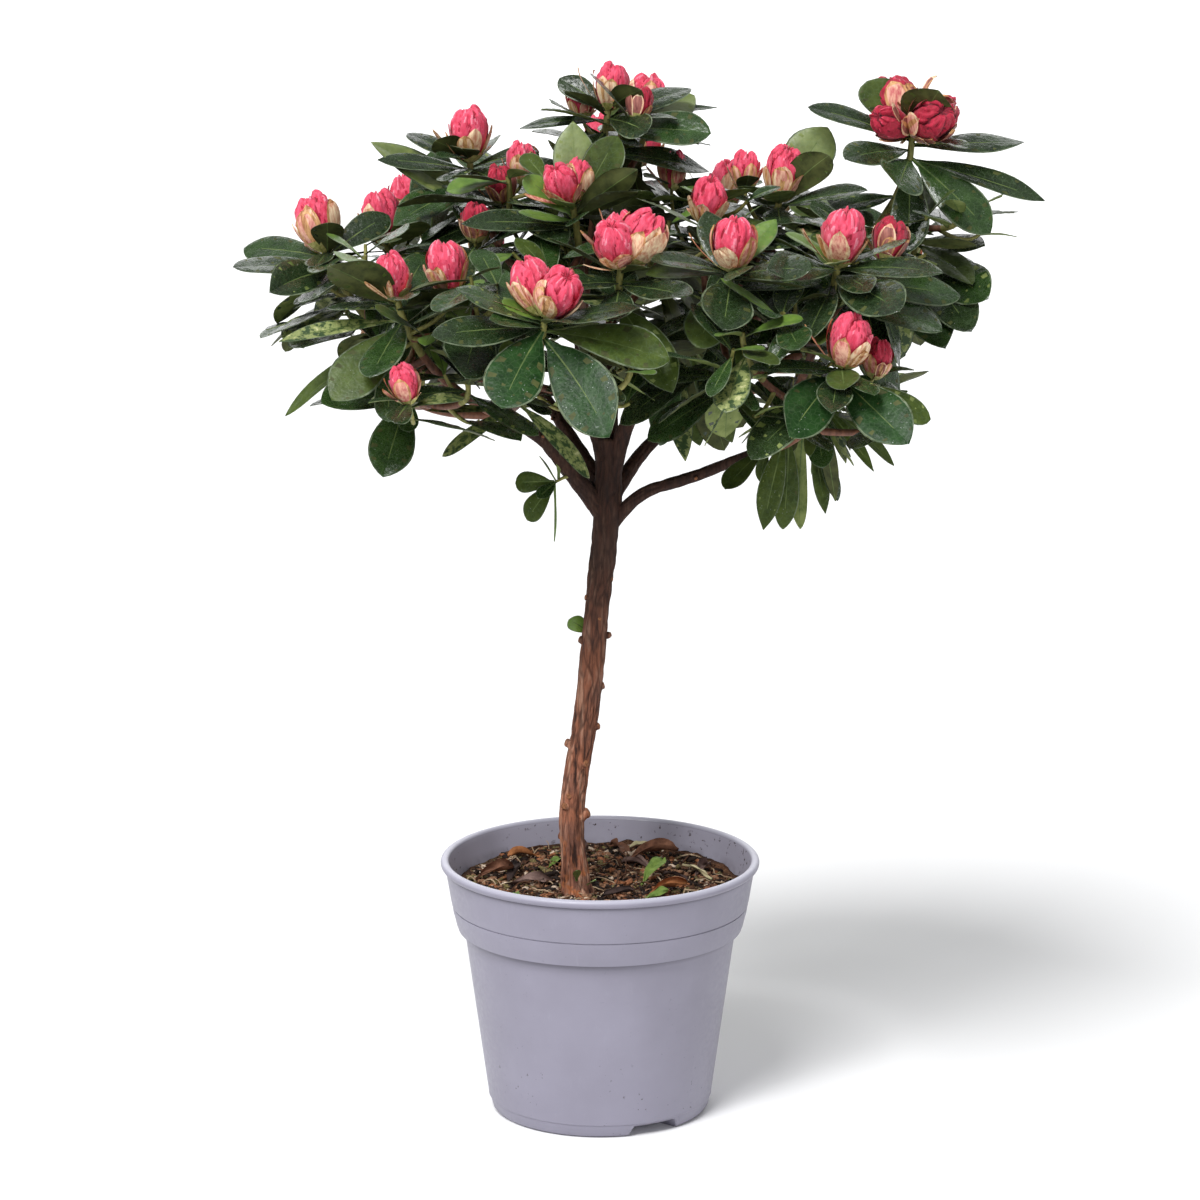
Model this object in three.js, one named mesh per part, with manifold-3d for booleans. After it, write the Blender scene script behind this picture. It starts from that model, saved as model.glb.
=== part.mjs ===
// A budding azalea (a small rhododendron) grown as a standard tree, in its plastic nursery pot.
// Millimetres, +Z up. The origin is the middle of the pot's underside, and the photographed side faces -Y.
import * as THREE from "three";
import { mergeVertices } from "three/addons/utils/BufferGeometryUtils.js";
import Module from "manifold-3d";

const wasm = await Module();
wasm.setup();

// Clearances
const GAP = 0.3; // between solids that meet
const LEAF_ROOM = 0.7; // kept free round a leaf blade

// Pot: a thin wall of revolution with a lip, a stepped band and a rounded foot
const POT = {
  lipRadius: 75,
  lipBead: 2,
  lipHeight: 119.5,
  bandTopRadius: 72.8,
  bandFootRadius: 69.6,
  bandFoot: 99.5,
  shoulderRadius: 64,
  shoulder: 88,
  shelfRadius: 66.6,
  footRadius: 52.7,
  foot: 6.5,
  soleRadius: 49,
  wall: 1.6,
  facets: 32,
};
// Drainage channels in the pot's foot, the first one seen to the right of the front
const DRAIN = { count: 3, firstBearing: -60, halfAngle: 14, inner: 36, height: 5.2, roof: 1.6 };

// Soil: level round the trunk, dished towards the wall
const SOIL = { top: 106, dish: 1, levelRadius: 34 };

// Trunk: its centre line from below the soil to the fork, and its thickness
const TRUNK = {
  line: [
    [-10, -9, SOIL.top - 8],
    [-10.8, -8, SOIL.top],
    [-13.1, -6, 145],
    [-5.8, -4, 196],
    [-1.4, -2, 242],
    [2.8, 0, 281],
    [4.6, 0, 322],
  ],
  radius: 5.8,
  flare: 2.4,
  flareHeight: 9,
  forkSwell: 0.9,
  forkHeight: 290,
  forkSpread: 14,
  steps: 16,
  sides: 9,
};

// Boughs: each leaves the trunk and tapers to the tip where its masses of foliage begin
const BOUGHS = {
  left: { line: [[1, 0, 288], [-14, -5, 307], [-28, -11, 325], [-47, -18, 336]], radius: [4.2, 3] },
  right: { line: [[4, 0, 281], [20, -3, 296], [45, -8, 306], [74, -17, 319]], radius: [3.1, 2.4] },
  upper_left: { line: [[3, 0, 312], [-4, 3, 336], [-9, 2, 368]], radius: [4.2, 3] },
  upper_right: { line: [[5, 0, 306], [13, -5, 330], [32, -14, 362]], radius: [4, 2.8] },
  back: { line: [[4, 1, 310], [5, 17, 334], [4, 44, 358]], radius: [3.8, 2.7] },
  back_left: { line: [[2, 1, 297], [-12, 18, 316], [-32, 40, 344]], radius: [3.6, 2.6] },
  back_right: { line: [[4, 1, 292], [20, 16, 312], [50, 38, 338]], radius: [3.6, 2.6] },
};
const BOUGH_STEPS = 6;
const BOUGH_SIDES = 7;

// Crown: a flattened dome whose outward slope leans the shoots
const CROWN = {
  centre: new THREE.Vector3(12, 0, 335),
  half: new THREE.Vector3(165, 150, 135),
  low: [410, 320], // heights between which leaves begin to hang
  floor: 334, // the lowest place that a leaf reaches
};

// Masses of foliage: where each leading shoot ends, the side shoots round it and the buds that it bears.
// turn is the bearing of the first side shoot, and budded lists the side shoots that bear a bud too.
const MASSES = {
  top: { bough: "upper_left", tip: [4, 8, 474], sides: 1, spread: 38, turn: 200, buds: 1, budded: [1] },
  upper_left: {
    bough: "upper_left", tip: [-60, 20, 449], sides: 3, spread: 44, turn: 160, buds: 1, budded: [2],
  },
  centre: {
    bough: "upper_left", tip: [-12, -32, 433], sides: 2, spread: 40, turn: 100, buds: 2, first: 60, bud: 0.84,
  },
  front_centre: {
    bough: "upper_right", tip: [9, -84, 412], sides: 2, spread: 42, turn: 66, buds: 3, first: 60,
  },
  front_right: {
    bough: "upper_right", tip: [58, -80, 413], sides: 2, spread: 40, turn: 80, buds: 1, budded: [1],
  },
  mid_right: { bough: "upper_right", tip: [82, -4, 434], sides: 2, spread: 42, turn: 120, buds: 1 },
  far_right: {
    bough: "upper_right", tip: [142, 2, 462], sides: 1, spread: 40, turn: 250, buds: 4, first: 32, fan: 66,
  },
  left_tip: { bough: "left", tip: [-125, -8, 411], sides: 2, spread: 40, turn: 200, buds: 1, size: 1.1 },
  left_front: { bough: "left", tip: [-90, -68, 398], sides: 2, spread: 46, turn: 210, buds: 1 },
  front_left: {
    bough: "left", tip: [-24, -108, 394], sides: 2, spread: 44, turn: 160, buds: 2, budded: [1], first: 135,
    floor: 352,
  },
  low_left: { bough: "left", tip: [-92, -34, 358], sides: 2, spread: 40, turn: 190, buds: 1 },
  right_front: { bough: "right", tip: [105, -72, 414], sides: 2, spread: 42, turn: 20, buds: 1 },
  low_right: { bough: "right", tip: [106, -98, 373], sides: 2, spread: 44, turn: 330, buds: 1, bud: 1.25 },
  hang_right: {
    bough: "right", tip: [100, -26, 344], sides: 2, spread: 34, turn: 200, buds: 0, hang: 0.9, floor: 290,
  },
  right: { bough: "back_right", tip: [150, 34, 414], sides: 2, spread: 44, turn: 330, buds: 0, budded: [1] },
  back_right: {
    bough: "back_right", tip: [84, 92, 414], sides: 3, spread: 48, turn: 40, buds: 1, budded: [1, 3],
  },
  back_low_right: {
    bough: "back_right", tip: [112, 84, 354], sides: 2, spread: 44, turn: 0, buds: 1, budded: [1],
  },
  back: {
    bough: "back", tip: [12, 84, 436], sides: 3, spread: 46, turn: 60, buds: 2, budded: [2, 3], first: 180,
  },
  back_low: { bough: "back", tip: [20, 132, 378], sides: 2, spread: 48, turn: 0, buds: 1, budded: [1, 2] },
  back_left: {
    bough: "back_left", tip: [-86, 72, 412], sides: 2, spread: 46, turn: 20, buds: 1, budded: [2],
  },
  back_low_left: {
    bough: "back_left", tip: [-78, 92, 352], sides: 2, spread: 44, turn: 150, buds: 1, budded: [1, 2],
  },
};
// What a mass has unless it says otherwise: the size of its leaves, how they hang and the lowest place they
// reach, the size of its buds, and the first bearing and the spread of the leading ones
const HABIT = { budded: [], size: 1, hang: 0, floor: CROWN.floor, bud: 1, first: 0, fan: 36 };

// Shoots: a stem runs to the leading whorl, and side shoots leave it part of the way along
const SHOOT = {
  lean: 0.36, // how far a shoot tips outwards against upright
  wander: 0.22,
  spreadWander: 0.2,
  stem: { radius: [2.5, 2], steps: 4, sides: 4, leaves: 6 },
  side: { radius: [2, 2], steps: 3, sides: 3, leaves: 5 },
  sideFrom: [0.45, 0.75], // share of the stem where the side shoots leave it
  sink: 0.4, // how far side shoots fall back from the dome, as a share of their spread
  curl: 0.4, // how soon a shoot turns upright, as a share of its length
};

// Whorls: leaves round a shoot's end, by the golden angle, from the youngest to the oldest
const WHORL = {
  length: [34, 53],
  lengthWander: 0.16,
  tilt: [50, 90], // degrees from the shoot's axis
  tiltWander: 13,
  droop: 0.14, // pull towards the ground, at most, for the oldest
  lowDroop: 0.4, // and more of it at the foot of the crown
  stalk: [1.5, 30], // distance below the shoot's end
  crowding: 1.6, // above 1 the younger leaves stand close together
  goldenAngle: 137.5,
  attempts: 5,
  nudge: [23, 6], // turn and droop of each new attempt, degrees
};
const LEAF = {
  slimness: 0.48,
  stations: [0, 0.3, 0.7, 1],
  fullness: [0, 0.9, 0.94, 0], // share of the whole width at each station
  keel: 1.2,
  sag: 0.12,
  sunk: 1.2, // how far its foot reaches past the middle of its shoot
  bladeFrom: 0.2, // the share of a leaf that is tried against its own mass
};

// Buds: fat ovals that stand on the shoot's end, fanned out where there are several
const BUD = {
  length: 24.5,
  radius: 9,
  sizeWander: 0.14,
  sunk: 2.8,
  widest: 1.5,
  fullness: 0.36,
  sides: 5,
  rings: 3,
};

const UP = new THREE.Vector3(0, 0, 1);
const vector = (xyz) => new THREE.Vector3(...xyz);
const mix = ([from, to], share) => from + (to - from) * share;

// Chance: the same keys always give the same number from 0 to 1
function chance(...keys) {
  let mixed = 0x9e3779b9;
  for (const key of keys) {
    mixed = Math.imul(mixed ^ key, 0x85ebca6b);
    mixed ^= mixed >>> 13;
    mixed = Math.imul(mixed, 0xc2b2ae35);
    mixed ^= mixed >>> 16;
  }
  return (mixed >>> 0) / 2 ** 32;
}
const wander = (...keys) => 2 * chance(...keys) - 1;

// Solids and geometry
function solidOf(geometry) {
  geometry.deleteAttribute("normal");
  geometry.deleteAttribute("uv");
  const merged = mergeVertices(geometry);
  return new wasm.Manifold(
    new wasm.Mesh({
      numProp: 3,
      vertProperties: merged.getAttribute("position").array,
      triVerts: new Uint32Array(merged.index.array),
    }),
  );
}

function geometryOf(solid) {
  const mesh = solid.getMesh();
  const geometry = new THREE.BufferGeometry();
  geometry.setAttribute("position", new THREE.BufferAttribute(mesh.vertProperties, mesh.numProp));
  geometry.setIndex(new THREE.BufferAttribute(mesh.triVerts, 1));
  geometry.computeVertexNormals();
  return geometry;
}

// The one outer body of a fused solid, without loose scraps and sealed hollows
function mainBody(solid) {
  return solid.decompose().reduce((best, body) => (body.volume() > best.volume() ? body : best));
}

// Every vertex of a geometry moved to place(vertex), as a solid
function shaped(geometry, place) {
  const position = geometry.getAttribute("position");
  const vertex = new THREE.Vector3();
  for (let i = 0; i < position.count; i++) {
    const { x, y, z } = place(vertex.fromBufferAttribute(position, i));
    position.setXYZ(i, x, y, z);
  }
  return solidOf(geometry);
}

function revolved(outline) {
  return solidOf(new THREE.LatheGeometry(outline, POT.facets).rotateX(Math.PI / 2));
}

// A tapering limb with flat ends along a curve; grow makes it stouter and longer all round
function limb(curve, radiusAt, steps, sides, grow = 0) {
  const frames = curve.computeFrenetFrames(steps);
  return shaped(new THREE.CylinderGeometry(1, 1, 1, sides, steps), (v) => {
    const step = Math.round((v.y + 0.5) * steps);
    const radius = radiusAt(step / steps) + grow;
    const past = step === steps ? grow : 0;
    return curve
      .getPointAt(step / steps)
      .addScaledVector(frames.tangents[step], past)
      .addScaledVector(frames.normals[step], v.x * radius)
      .addScaledVector(frames.binormals[step], -v.z * radius);
  });
}

// Pot and soil
function potOutside() {
  const { lipRadius, lipBead, lipHeight, shoulder, bandFootRadius } = POT;
  const outline = new THREE.Path();
  outline.moveTo(0, 0);
  outline.lineTo(POT.soleRadius, 0);
  outline.quadraticCurveTo(POT.footRadius - 0.6, 1, POT.footRadius, POT.foot);
  outline.lineTo(POT.shoulderRadius, shoulder);
  outline.lineTo(POT.shelfRadius, shoulder);
  outline.quadraticCurveTo(bandFootRadius - 0.4, shoulder + 1, bandFootRadius, POT.bandFoot);
  outline.lineTo(POT.bandTopRadius, lipHeight - lipBead);
  outline.absarc(lipRadius - lipBead, lipHeight, lipBead, -Math.PI / 3, Math.PI / 2, false);
  outline.lineTo(0, lipHeight + lipBead);
  return revolved(outline.getPoints(2));
}

// The outline of the room inside the wall, from the floor to the band; gap draws it in
function potInside(gap) {
  const inset = POT.wall + gap;
  return [
    new THREE.Vector2(0, inset),
    new THREE.Vector2(POT.soleRadius - inset, inset),
    new THREE.Vector2(POT.footRadius - inset, POT.foot),
    new THREE.Vector2(POT.shoulderRadius - inset, POT.shoulder),
    new THREE.Vector2(POT.bandFootRadius - inset, POT.bandFoot),
  ];
}

// Blocks of a ring, one for each drainage channel
function drainBlocks(inner, outer, halfAngle, from, to) {
  const half = THREE.MathUtils.degToRad(halfAngle);
  const shape = new THREE.Shape();
  shape.absarc(0, 0, outer, -half, half, false);
  shape.absarc(0, 0, inner, half, -half, true);
  const blocks = [];
  for (let i = 0; i < DRAIN.count; i++) {
    const bearing = THREE.MathUtils.degToRad(DRAIN.firstBearing + (i * 360) / DRAIN.count);
    const settings = { depth: to - from, bevelEnabled: false, curveSegments: 3 };
    const block = new THREE.ExtrudeGeometry(shape, settings);
    blocks.push(solidOf(block.rotateZ(bearing).translate(0, 0, from)));
  }
  return blocks.reduce((all, block) => all.add(block));
}

function drainPockets(gap) {
  const side = THREE.MathUtils.radToDeg((DRAIN.roof + gap) / DRAIN.inner);
  const inner = DRAIN.inner - DRAIN.roof - gap;
  return drainBlocks(inner, POT.lipRadius, DRAIN.halfAngle + side, -1, DRAIN.height + DRAIN.roof + gap);
}

function makePot() {
  const overTop = POT.lipHeight + 2 * POT.lipBead;
  const mouth = POT.lipRadius - 2 * POT.lipBead;
  const top = [new THREE.Vector2(mouth, overTop), new THREE.Vector2(0, overTop)];
  const room = revolved([...potInside(0), ...top]).subtract(drainPockets(0));
  const channels = drainBlocks(DRAIN.inner, POT.lipRadius, DRAIN.halfAngle, -1, DRAIN.height);
  return mainBody(potOutside().subtract(room).subtract(channels));
}

function makeSoil() {
  const wall = potInside(GAP);
  const top = [
    new THREE.Vector2(wall.at(-1).x, SOIL.top - SOIL.dish),
    new THREE.Vector2(SOIL.levelRadius, SOIL.top),
    new THREE.Vector2(0, SOIL.top),
  ];
  return mainBody(revolved([...wall, ...top]).subtract(drainPockets(GAP)));
}

// Trunk and boughs
function makeTrunk(grow = 0) {
  const curve = new THREE.CatmullRomCurve3(TRUNK.line.map(vector));
  const radiusAt = (share) => {
    const height = curve.getPointAt(share).z;
    const flare = TRUNK.flare * Math.exp(-(height - SOIL.top) / TRUNK.flareHeight);
    const swell = TRUNK.forkSwell * Math.exp(-(((height - TRUNK.forkHeight) / TRUNK.forkSpread) ** 2));
    return TRUNK.radius + flare + swell;
  };
  const whole = limb(curve, radiusAt, TRUNK.steps, TRUNK.sides, grow);
  const ground = solidOf(new THREE.BoxGeometry(100, 100, 40).translate(0, 0, SOIL.top + GAP - 20));
  return whole.subtract(ground);
}

function makeBough({ line, radius }, grow = 0) {
  const curve = new THREE.CatmullRomCurve3(line.map(vector));
  return limb(curve, (share) => mix(radius, share), BOUGH_STEPS, BOUGH_SIDES, grow);
}

// Shoots of a mass: where each ends, the way it points, and the curve that leads there
function outwards(place) {
  return place.clone().sub(CROWN.centre).divide(CROWN.half).divide(CROWN.half).normalize();
}

function shootAxis(place, key) {
  const sway = [1, 2, 3].map((k) => SHOOT.wander * wander(...key, k));
  return outwards(place).multiplyScalar(SHOOT.lean).add(UP).add(vector(sway)).normalize();
}

function shootCurve(from, end, axis) {
  const bend = end.clone().addScaledVector(axis, -SHOOT.curl * from.distanceTo(end));
  return new THREE.QuadraticBezierCurve3(from, bend, end);
}

function growShoots(mass, seed) {
  const { bough, tip, sides, spread, turn, buds } = mass;
  const habit = { ...HABIT, ...mass };
  const end = vector(tip);
  const start = vector(BOUGHS[bough].line.at(-1));
  const axis = shootAxis(end, [seed, 0]);
  const curve = shootCurve(start, end, axis);
  const stem = { key: [seed, 0], kind: SHOOT.stem, end, axis, buds, habit, curve };
  const shoots = [stem];
  const normal = outwards(end);
  const across = UP.clone().cross(normal).normalize();
  const along = normal.clone().cross(across);
  for (let i = 1; i <= sides; i++) {
    const key = [seed, i];
    const bearing = THREE.MathUtils.degToRad(turn + ((i - 1) * 360) / sides);
    const reach = spread * (1 + SHOOT.spreadWander * wander(...key, 4));
    const sideEnd = end
      .clone()
      .addScaledVector(across, reach * Math.cos(bearing))
      .addScaledVector(along, reach * Math.sin(bearing))
      .addScaledVector(normal, -SHOOT.sink * reach);
    const from = stem.curve.getPoint(mix(SHOOT.sideFrom, chance(...key, 5)));
    const sideAxis = shootAxis(sideEnd, key);
    shoots.push({
      key,
      kind: SHOOT.side,
      end: sideEnd,
      axis: sideAxis,
      buds: habit.budded.includes(i) ? 1 : 0,
      habit,
      curve: shootCurve(from, sideEnd, sideAxis),
    });
  }
  return shoots;
}

function shootSolid(shoot, grow = 0) {
  const { radius, steps, sides } = shoot.kind;
  return limb(shoot.curve, (share) => mix(radius, share), steps, sides, grow);
}

// The place at a distance below a shoot's end, on the straight runs of its solid
function below(shoot, distance) {
  const { steps } = shoot.kind;
  const place = Math.max(0, 1 - distance / shoot.curve.getLength()) * steps;
  const step = Math.min(Math.floor(place), steps - 1);
  const from = shoot.curve.getPointAt(step / steps);
  const to = shoot.curve.getPointAt((step + 1) / steps);
  return { spot: from.clone().lerp(to, place - step), axis: to.sub(from).normalize() };
}

// A direction tipped away from an axis, on a bearing round it, both in degrees
function tipped(axis, tilt, bearing) {
  const side = new THREE.Vector3(1, 0, 0).cross(axis).normalize();
  side.applyAxisAngle(axis, THREE.MathUtils.degToRad(bearing));
  return axis.clone().applyAxisAngle(side, THREE.MathUtils.degToRad(tilt));
}

function makeBuds(shoot, grow = 0) {
  const buds = [];
  for (let i = 0; i < shoot.buds; i++) {
    const tilt = shoot.buds > 1 ? shoot.habit.fan * (0.6 + 0.4 * chance(...shoot.key, i, 7)) : 0;
    const axis = tipped(shoot.axis, tilt, shoot.habit.first + (i * 360) / shoot.buds);
    const size = shoot.habit.bud * (1 + BUD.sizeWander * wander(...shoot.key, i, 9));
    const turn = new THREE.Quaternion().setFromUnitVectors(UP, axis);
    const foot = shoot.end.clone().addScaledVector(axis, -BUD.sunk);
    const bud = shaped(new THREE.SphereGeometry(1, BUD.sides, BUD.rings).rotateX(Math.PI / 2), (v) => {
      const share = (v.z + 1) / 2;
      const round = Math.hypot(v.x, v.y);
      const swell = Math.sin(Math.PI * share ** BUD.widest) ** BUD.fullness;
      const radius = round < 1e-6 ? 0 : (BUD.radius * size * swell + grow) / round;
      const spot = new THREE.Vector3(v.x * radius, v.y * radius, share * BUD.length * size);
      return spot.applyQuaternion(turn).add(foot);
    });
    buds.push(bud);
  }
  return buds;
}

// A leaf of a whorl: where its stalk starts, the way it lies and its size
function placeLeaf(shoot, number, attempt) {
  const age = number / (shoot.kind.leaves - 1);
  const length =
    shoot.habit.size * mix(WHORL.length, age) * (1 + WHORL.lengthWander * wander(...shoot.key, number, 10));
  const bearing =
    number * WHORL.goldenAngle + 360 * chance(...shoot.key, 11) + attempt * WHORL.nudge[0];
  const tilt =
    mix(WHORL.tilt, age) + WHORL.tiltWander * wander(...shoot.key, number, 12) + attempt * WHORL.nudge[1];
  const { spot, axis } = below(shoot, mix(WHORL.stalk, age ** WHORL.crowding));
  const [start, full] = CROWN.low;
  const low = THREE.MathUtils.clamp((start - spot.z) / (start - full), 0, 1);
  const pull = WHORL.droop * chance(...shoot.key, number, 13) + WHORL.lowDroop * low;
  const droop = shoot.habit.hang + age * pull;
  const along = tipped(axis, tilt, bearing).addScaledVector(UP, -droop).normalize();
  const across = UP.clone().cross(along).normalize();
  const face = along.clone().cross(across);
  return { root: spot, along, across, face, length, width: length * LEAF.slimness };
}

// The leaf's solid: a flat upper side over a keel, pointed at both ends.
// from leaves the first share of it out, and grow makes it larger all round.
function leafSolid(leaf, from = 0, grow = 0) {
  const last = LEAF.stations.length - 1;
  const spindle = new THREE.SphereGeometry(1, 3, last);
  return shaped(spindle, (v) => {
    const station = Math.round((last * Math.acos(THREE.MathUtils.clamp(-v.y, -1, 1))) / Math.PI);
    const isEnd = station === 0 || station === last;
    const share = from + (1 - from) * LEAF.stations[station];
    const room = isEnd ? 0 : grow;
    const half = (LEAF.fullness[station] * leaf.width) / 2 + room;
    const isKeel = v.x < -0.1;
    const sideways = isEnd || isKeel ? 0 : Math.sign(v.z) * half;
    const depth = isKeel && !isEnd ? LEAF.keel + 2 * room : 0;
    return leaf.root
      .clone()
      .addScaledVector(leaf.along, share * (leaf.length + grow + LEAF.sunk) - LEAF.sunk)
      .addScaledVector(leaf.across, sideways)
      .addScaledVector(leaf.face, room - depth - LEAF.sag * leaf.length * share ** 2);
  });
}

// Growing the crown: all shoots and buds first, then the leaves that find room
function boxesMeet(a, b) {
  const one = a.boundingBox();
  const two = b.boundingBox();
  return [0, 1, 2].every((k) => one.min[k] < two.max[k] && two.min[k] < one.max[k]);
}

const touches = (a, b) => boxesMeet(a, b) && !a.intersect(b).isEmpty();

// The stems, each coped round the wood and the stems before it
function growStems(crown, wood) {
  const cutters = [...wood];
  for (const mass of crown) {
    const [stem] = mass.shoots;
    mass.body = cutters.reduce(
      (solid, cutter) => (touches(solid, cutter) ? mainBody(solid.subtract(cutter)) : solid),
      shootSolid(stem),
    );
    cutters.push(shootSolid(stem, 2 * GAP));
  }
}

// Side shoots and buds that touch no other mass and no wood
function growSides(mass, others) {
  mass.shoots = mass.shoots.filter((shoot) => {
    const isStem = shoot.kind === SHOOT.stem;
    const pieces = (grow) => [...makeBuds(shoot, grow), ...(isStem ? [] : [shootSolid(shoot, grow)])];
    const isFree = pieces(LEAF_ROOM).every((piece) => !others.some((other) => touches(piece, other)));
    if (isFree) mass.body = pieces(0).reduce((body, piece) => body.add(piece), mass.body);
    return isFree || isStem;
  });
}

// Leaves: each is turned until it is clear of all others, or is left out
function growLeaves(mass, others) {
  for (const shoot of mass.shoots) {
    for (let number = 0; number < shoot.kind.leaves; number++) {
      for (let attempt = 0; attempt < WHORL.attempts; attempt++) {
        const leaf = placeLeaf(shoot, number, attempt);
        if (leafSolid(leaf).boundingBox().min[2] < shoot.habit.floor) continue;
        if (touches(leafSolid(leaf, LEAF.bladeFrom, LEAF_ROOM), mass.body)) continue;
        const whole = leafSolid(leaf, 0, LEAF_ROOM);
        if (others.some((other) => touches(whole, other))) continue;
        mass.body = mass.body.add(leafSolid(leaf));
        break;
      }
    }
  }
  mass.body = mainBody(mass.body);
}

function growCrown(wood) {
  const crown = Object.entries(MASSES).map(([name, mass], order) => ({
    name,
    shoots: growShoots(mass, order + 1),
    body: null,
  }));
  growStems(crown, wood);
  const others = (mass) => [...wood, ...crown.filter((other) => other !== mass).map((other) => other.body)];
  crown.forEach((mass) => growSides(mass, others(mass)));
  crown.forEach((mass) => growLeaves(mass, others(mass)));
  return crown;
}

// The part
const plastic = new THREE.MeshStandardMaterial({ color: 0xa6a5b4, roughness: 0.55, metalness: 0 });
const peat = new THREE.MeshStandardMaterial({ color: 0x3a2a20, roughness: 1, metalness: 0 });
const bark = new THREE.MeshStandardMaterial({ color: 0x5e3a2a, roughness: 0.9, metalness: 0 });
const foliage = new THREE.MeshStandardMaterial({ color: 0x2f4a2c, roughness: 0.5, metalness: 0 });

function piece(name, solid, material) {
  const mesh = new THREE.Mesh(geometryOf(solid), material);
  mesh.name = name;
  return mesh;
}

const potted = new THREE.Group();
potted.add(piece("pot", makePot(), plastic), piece("soil", makeSoil(), peat));

const plant = new THREE.Group();
const wood = [makeTrunk(GAP)];
plant.add(piece("trunk", makeTrunk(), bark));
for (const [name, bough] of Object.entries(BOUGHS)) {
  const coped = wood.reduce((solid, earlier) => solid.subtract(earlier), makeBough(bough));
  plant.add(piece(`bough_${name}`, mainBody(coped), bark));
  wood.push(makeBough(bough, GAP));
}
for (const mass of growCrown(wood)) {
  plant.add(piece(`foliage_${mass.name}`, mass.body, foliage));
}

const part = new THREE.Group();
part.add(potted, plant);
export default part;
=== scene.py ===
import math

import bpy
import numpy as np
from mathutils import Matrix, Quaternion, Vector, noise
from mathutils.bvhtree import BVHTree


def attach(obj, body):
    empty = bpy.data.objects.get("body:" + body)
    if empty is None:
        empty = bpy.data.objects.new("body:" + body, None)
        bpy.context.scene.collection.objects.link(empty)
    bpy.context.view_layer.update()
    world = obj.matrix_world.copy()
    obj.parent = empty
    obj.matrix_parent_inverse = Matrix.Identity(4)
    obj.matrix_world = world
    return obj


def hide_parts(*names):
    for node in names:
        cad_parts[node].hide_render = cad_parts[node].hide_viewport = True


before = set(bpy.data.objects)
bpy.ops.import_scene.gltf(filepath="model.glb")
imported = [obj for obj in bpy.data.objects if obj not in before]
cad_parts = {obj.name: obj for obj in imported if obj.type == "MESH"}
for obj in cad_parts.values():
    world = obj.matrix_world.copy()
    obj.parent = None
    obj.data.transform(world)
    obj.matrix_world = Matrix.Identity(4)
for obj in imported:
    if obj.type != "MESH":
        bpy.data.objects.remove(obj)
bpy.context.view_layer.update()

# A budding azalea grown as a standard tree, in its nursery pot, grown on in fine detail from the CAD frame.
# Lengths are millimetres, as in the part's source, and become metres where a mesh is made.
MILLIMETRE = 0.001
UP = Vector((0, 0, 1))

# Pot: the outline of the source, with softer edges and a fine ridge round the band
LIP_RADIUS = 75
LIP_BEAD = 2
LIP_HEIGHT = 119.5
BAND_TOP_RADIUS = 72.8
BAND_FOOT_RADIUS = 69.6
BAND_FOOT = 99.5
SHOULDER_RADIUS = 64
SHOULDER = 88
SHELF_RADIUS = 66.6
FOOT_RADIUS = 52.7
FOOT = 6.5
SOLE_RADIUS = 49
POT_WALL = 1.6
POT_FLOOR = FOOT + 2
RIDGE_STEP = 0.25
GROOVE = 0.32
POT_SIDES = 240
POT_SHARP = 32
INSIDE_ROWS_BELOW_LIP = 5
DRAIN_COUNT = 3
DRAIN_BEARING = -60
DRAIN_HALF_ANGLE = 14
DRAIN_LEAN = 2.2
DRAIN_INNER = 36
DRAIN_HEIGHT = 5.2

# Soil: clods and grain are noise, with a height, a width and a level in it
SOIL_TOP = 106
SOIL_EDGE = BAND_FOOT_RADIUS - POT_WALL
SOIL_SUNK = 0.7
SOIL_DISH = 1
SOIL_BANK = 4.5
SOIL_LEVEL_RADIUS = 34
SOIL_FLOOR = 12
SOIL_MIDDLE_RADIUS = 0.3
# Radius and height of the rings under the surface, inside the pot's wall
SOIL_UNDERSIDE = (
    (SHOULDER_RADIUS - POT_WALL - 0.4, SHOULDER), (FOOT_RADIUS - 4, SOIL_FLOOR), (1, SOIL_FLOOR),
)
SOIL_RINGS = 64
SOIL_SIDES = 200
CLODS = ((2.2, 16, 3.1), (1.5, 6.5, 7.7))
SOIL_GRAIN = (1.2, 2.4, 1.3)

# What lies on the soil; a finish has a dark and a light colour and the scale of its grain
CRUMBS = 4200
CRUMB_SIZE = (0.36, 2.2)
CRUMB_STRETCH = (0.7, 2.4)
CRUMB_WIDTH = 0.8
CRUMB_HEIGHT = 0.6
CRUMB_DENTS = 0.9
CRUMB_DENT_SCALE = 2.1
CRUMB_STEP = 3.7
CRUMB_LEAN = 0.3
CRUMB_LIFT = 0.25
CRUMB_CAP = 0.2
CRUMB_ROWS = 4
CRUMB_COLUMNS = 6
CRUMB_LOOKS = {
    "crumb_dark": ((10, 6, 5), (50, 34, 26), 900),
    "crumb_brown": ((74, 50, 36), (174, 130, 100), 900),
    "crumb_moss": ((72, 64, 38), (134, 120, 78), 900),
    "fibre_dark": ((58, 36, 26), (98, 64, 44), 380),
    "fibre_pale": ((138, 110, 84), (190, 168, 140), 380),
    "crumb_rust": ((106, 62, 40), (172, 114, 78), 900),
    "crumb_pale": ((170, 146, 122), (232, 212, 192), 900),
}
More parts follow.
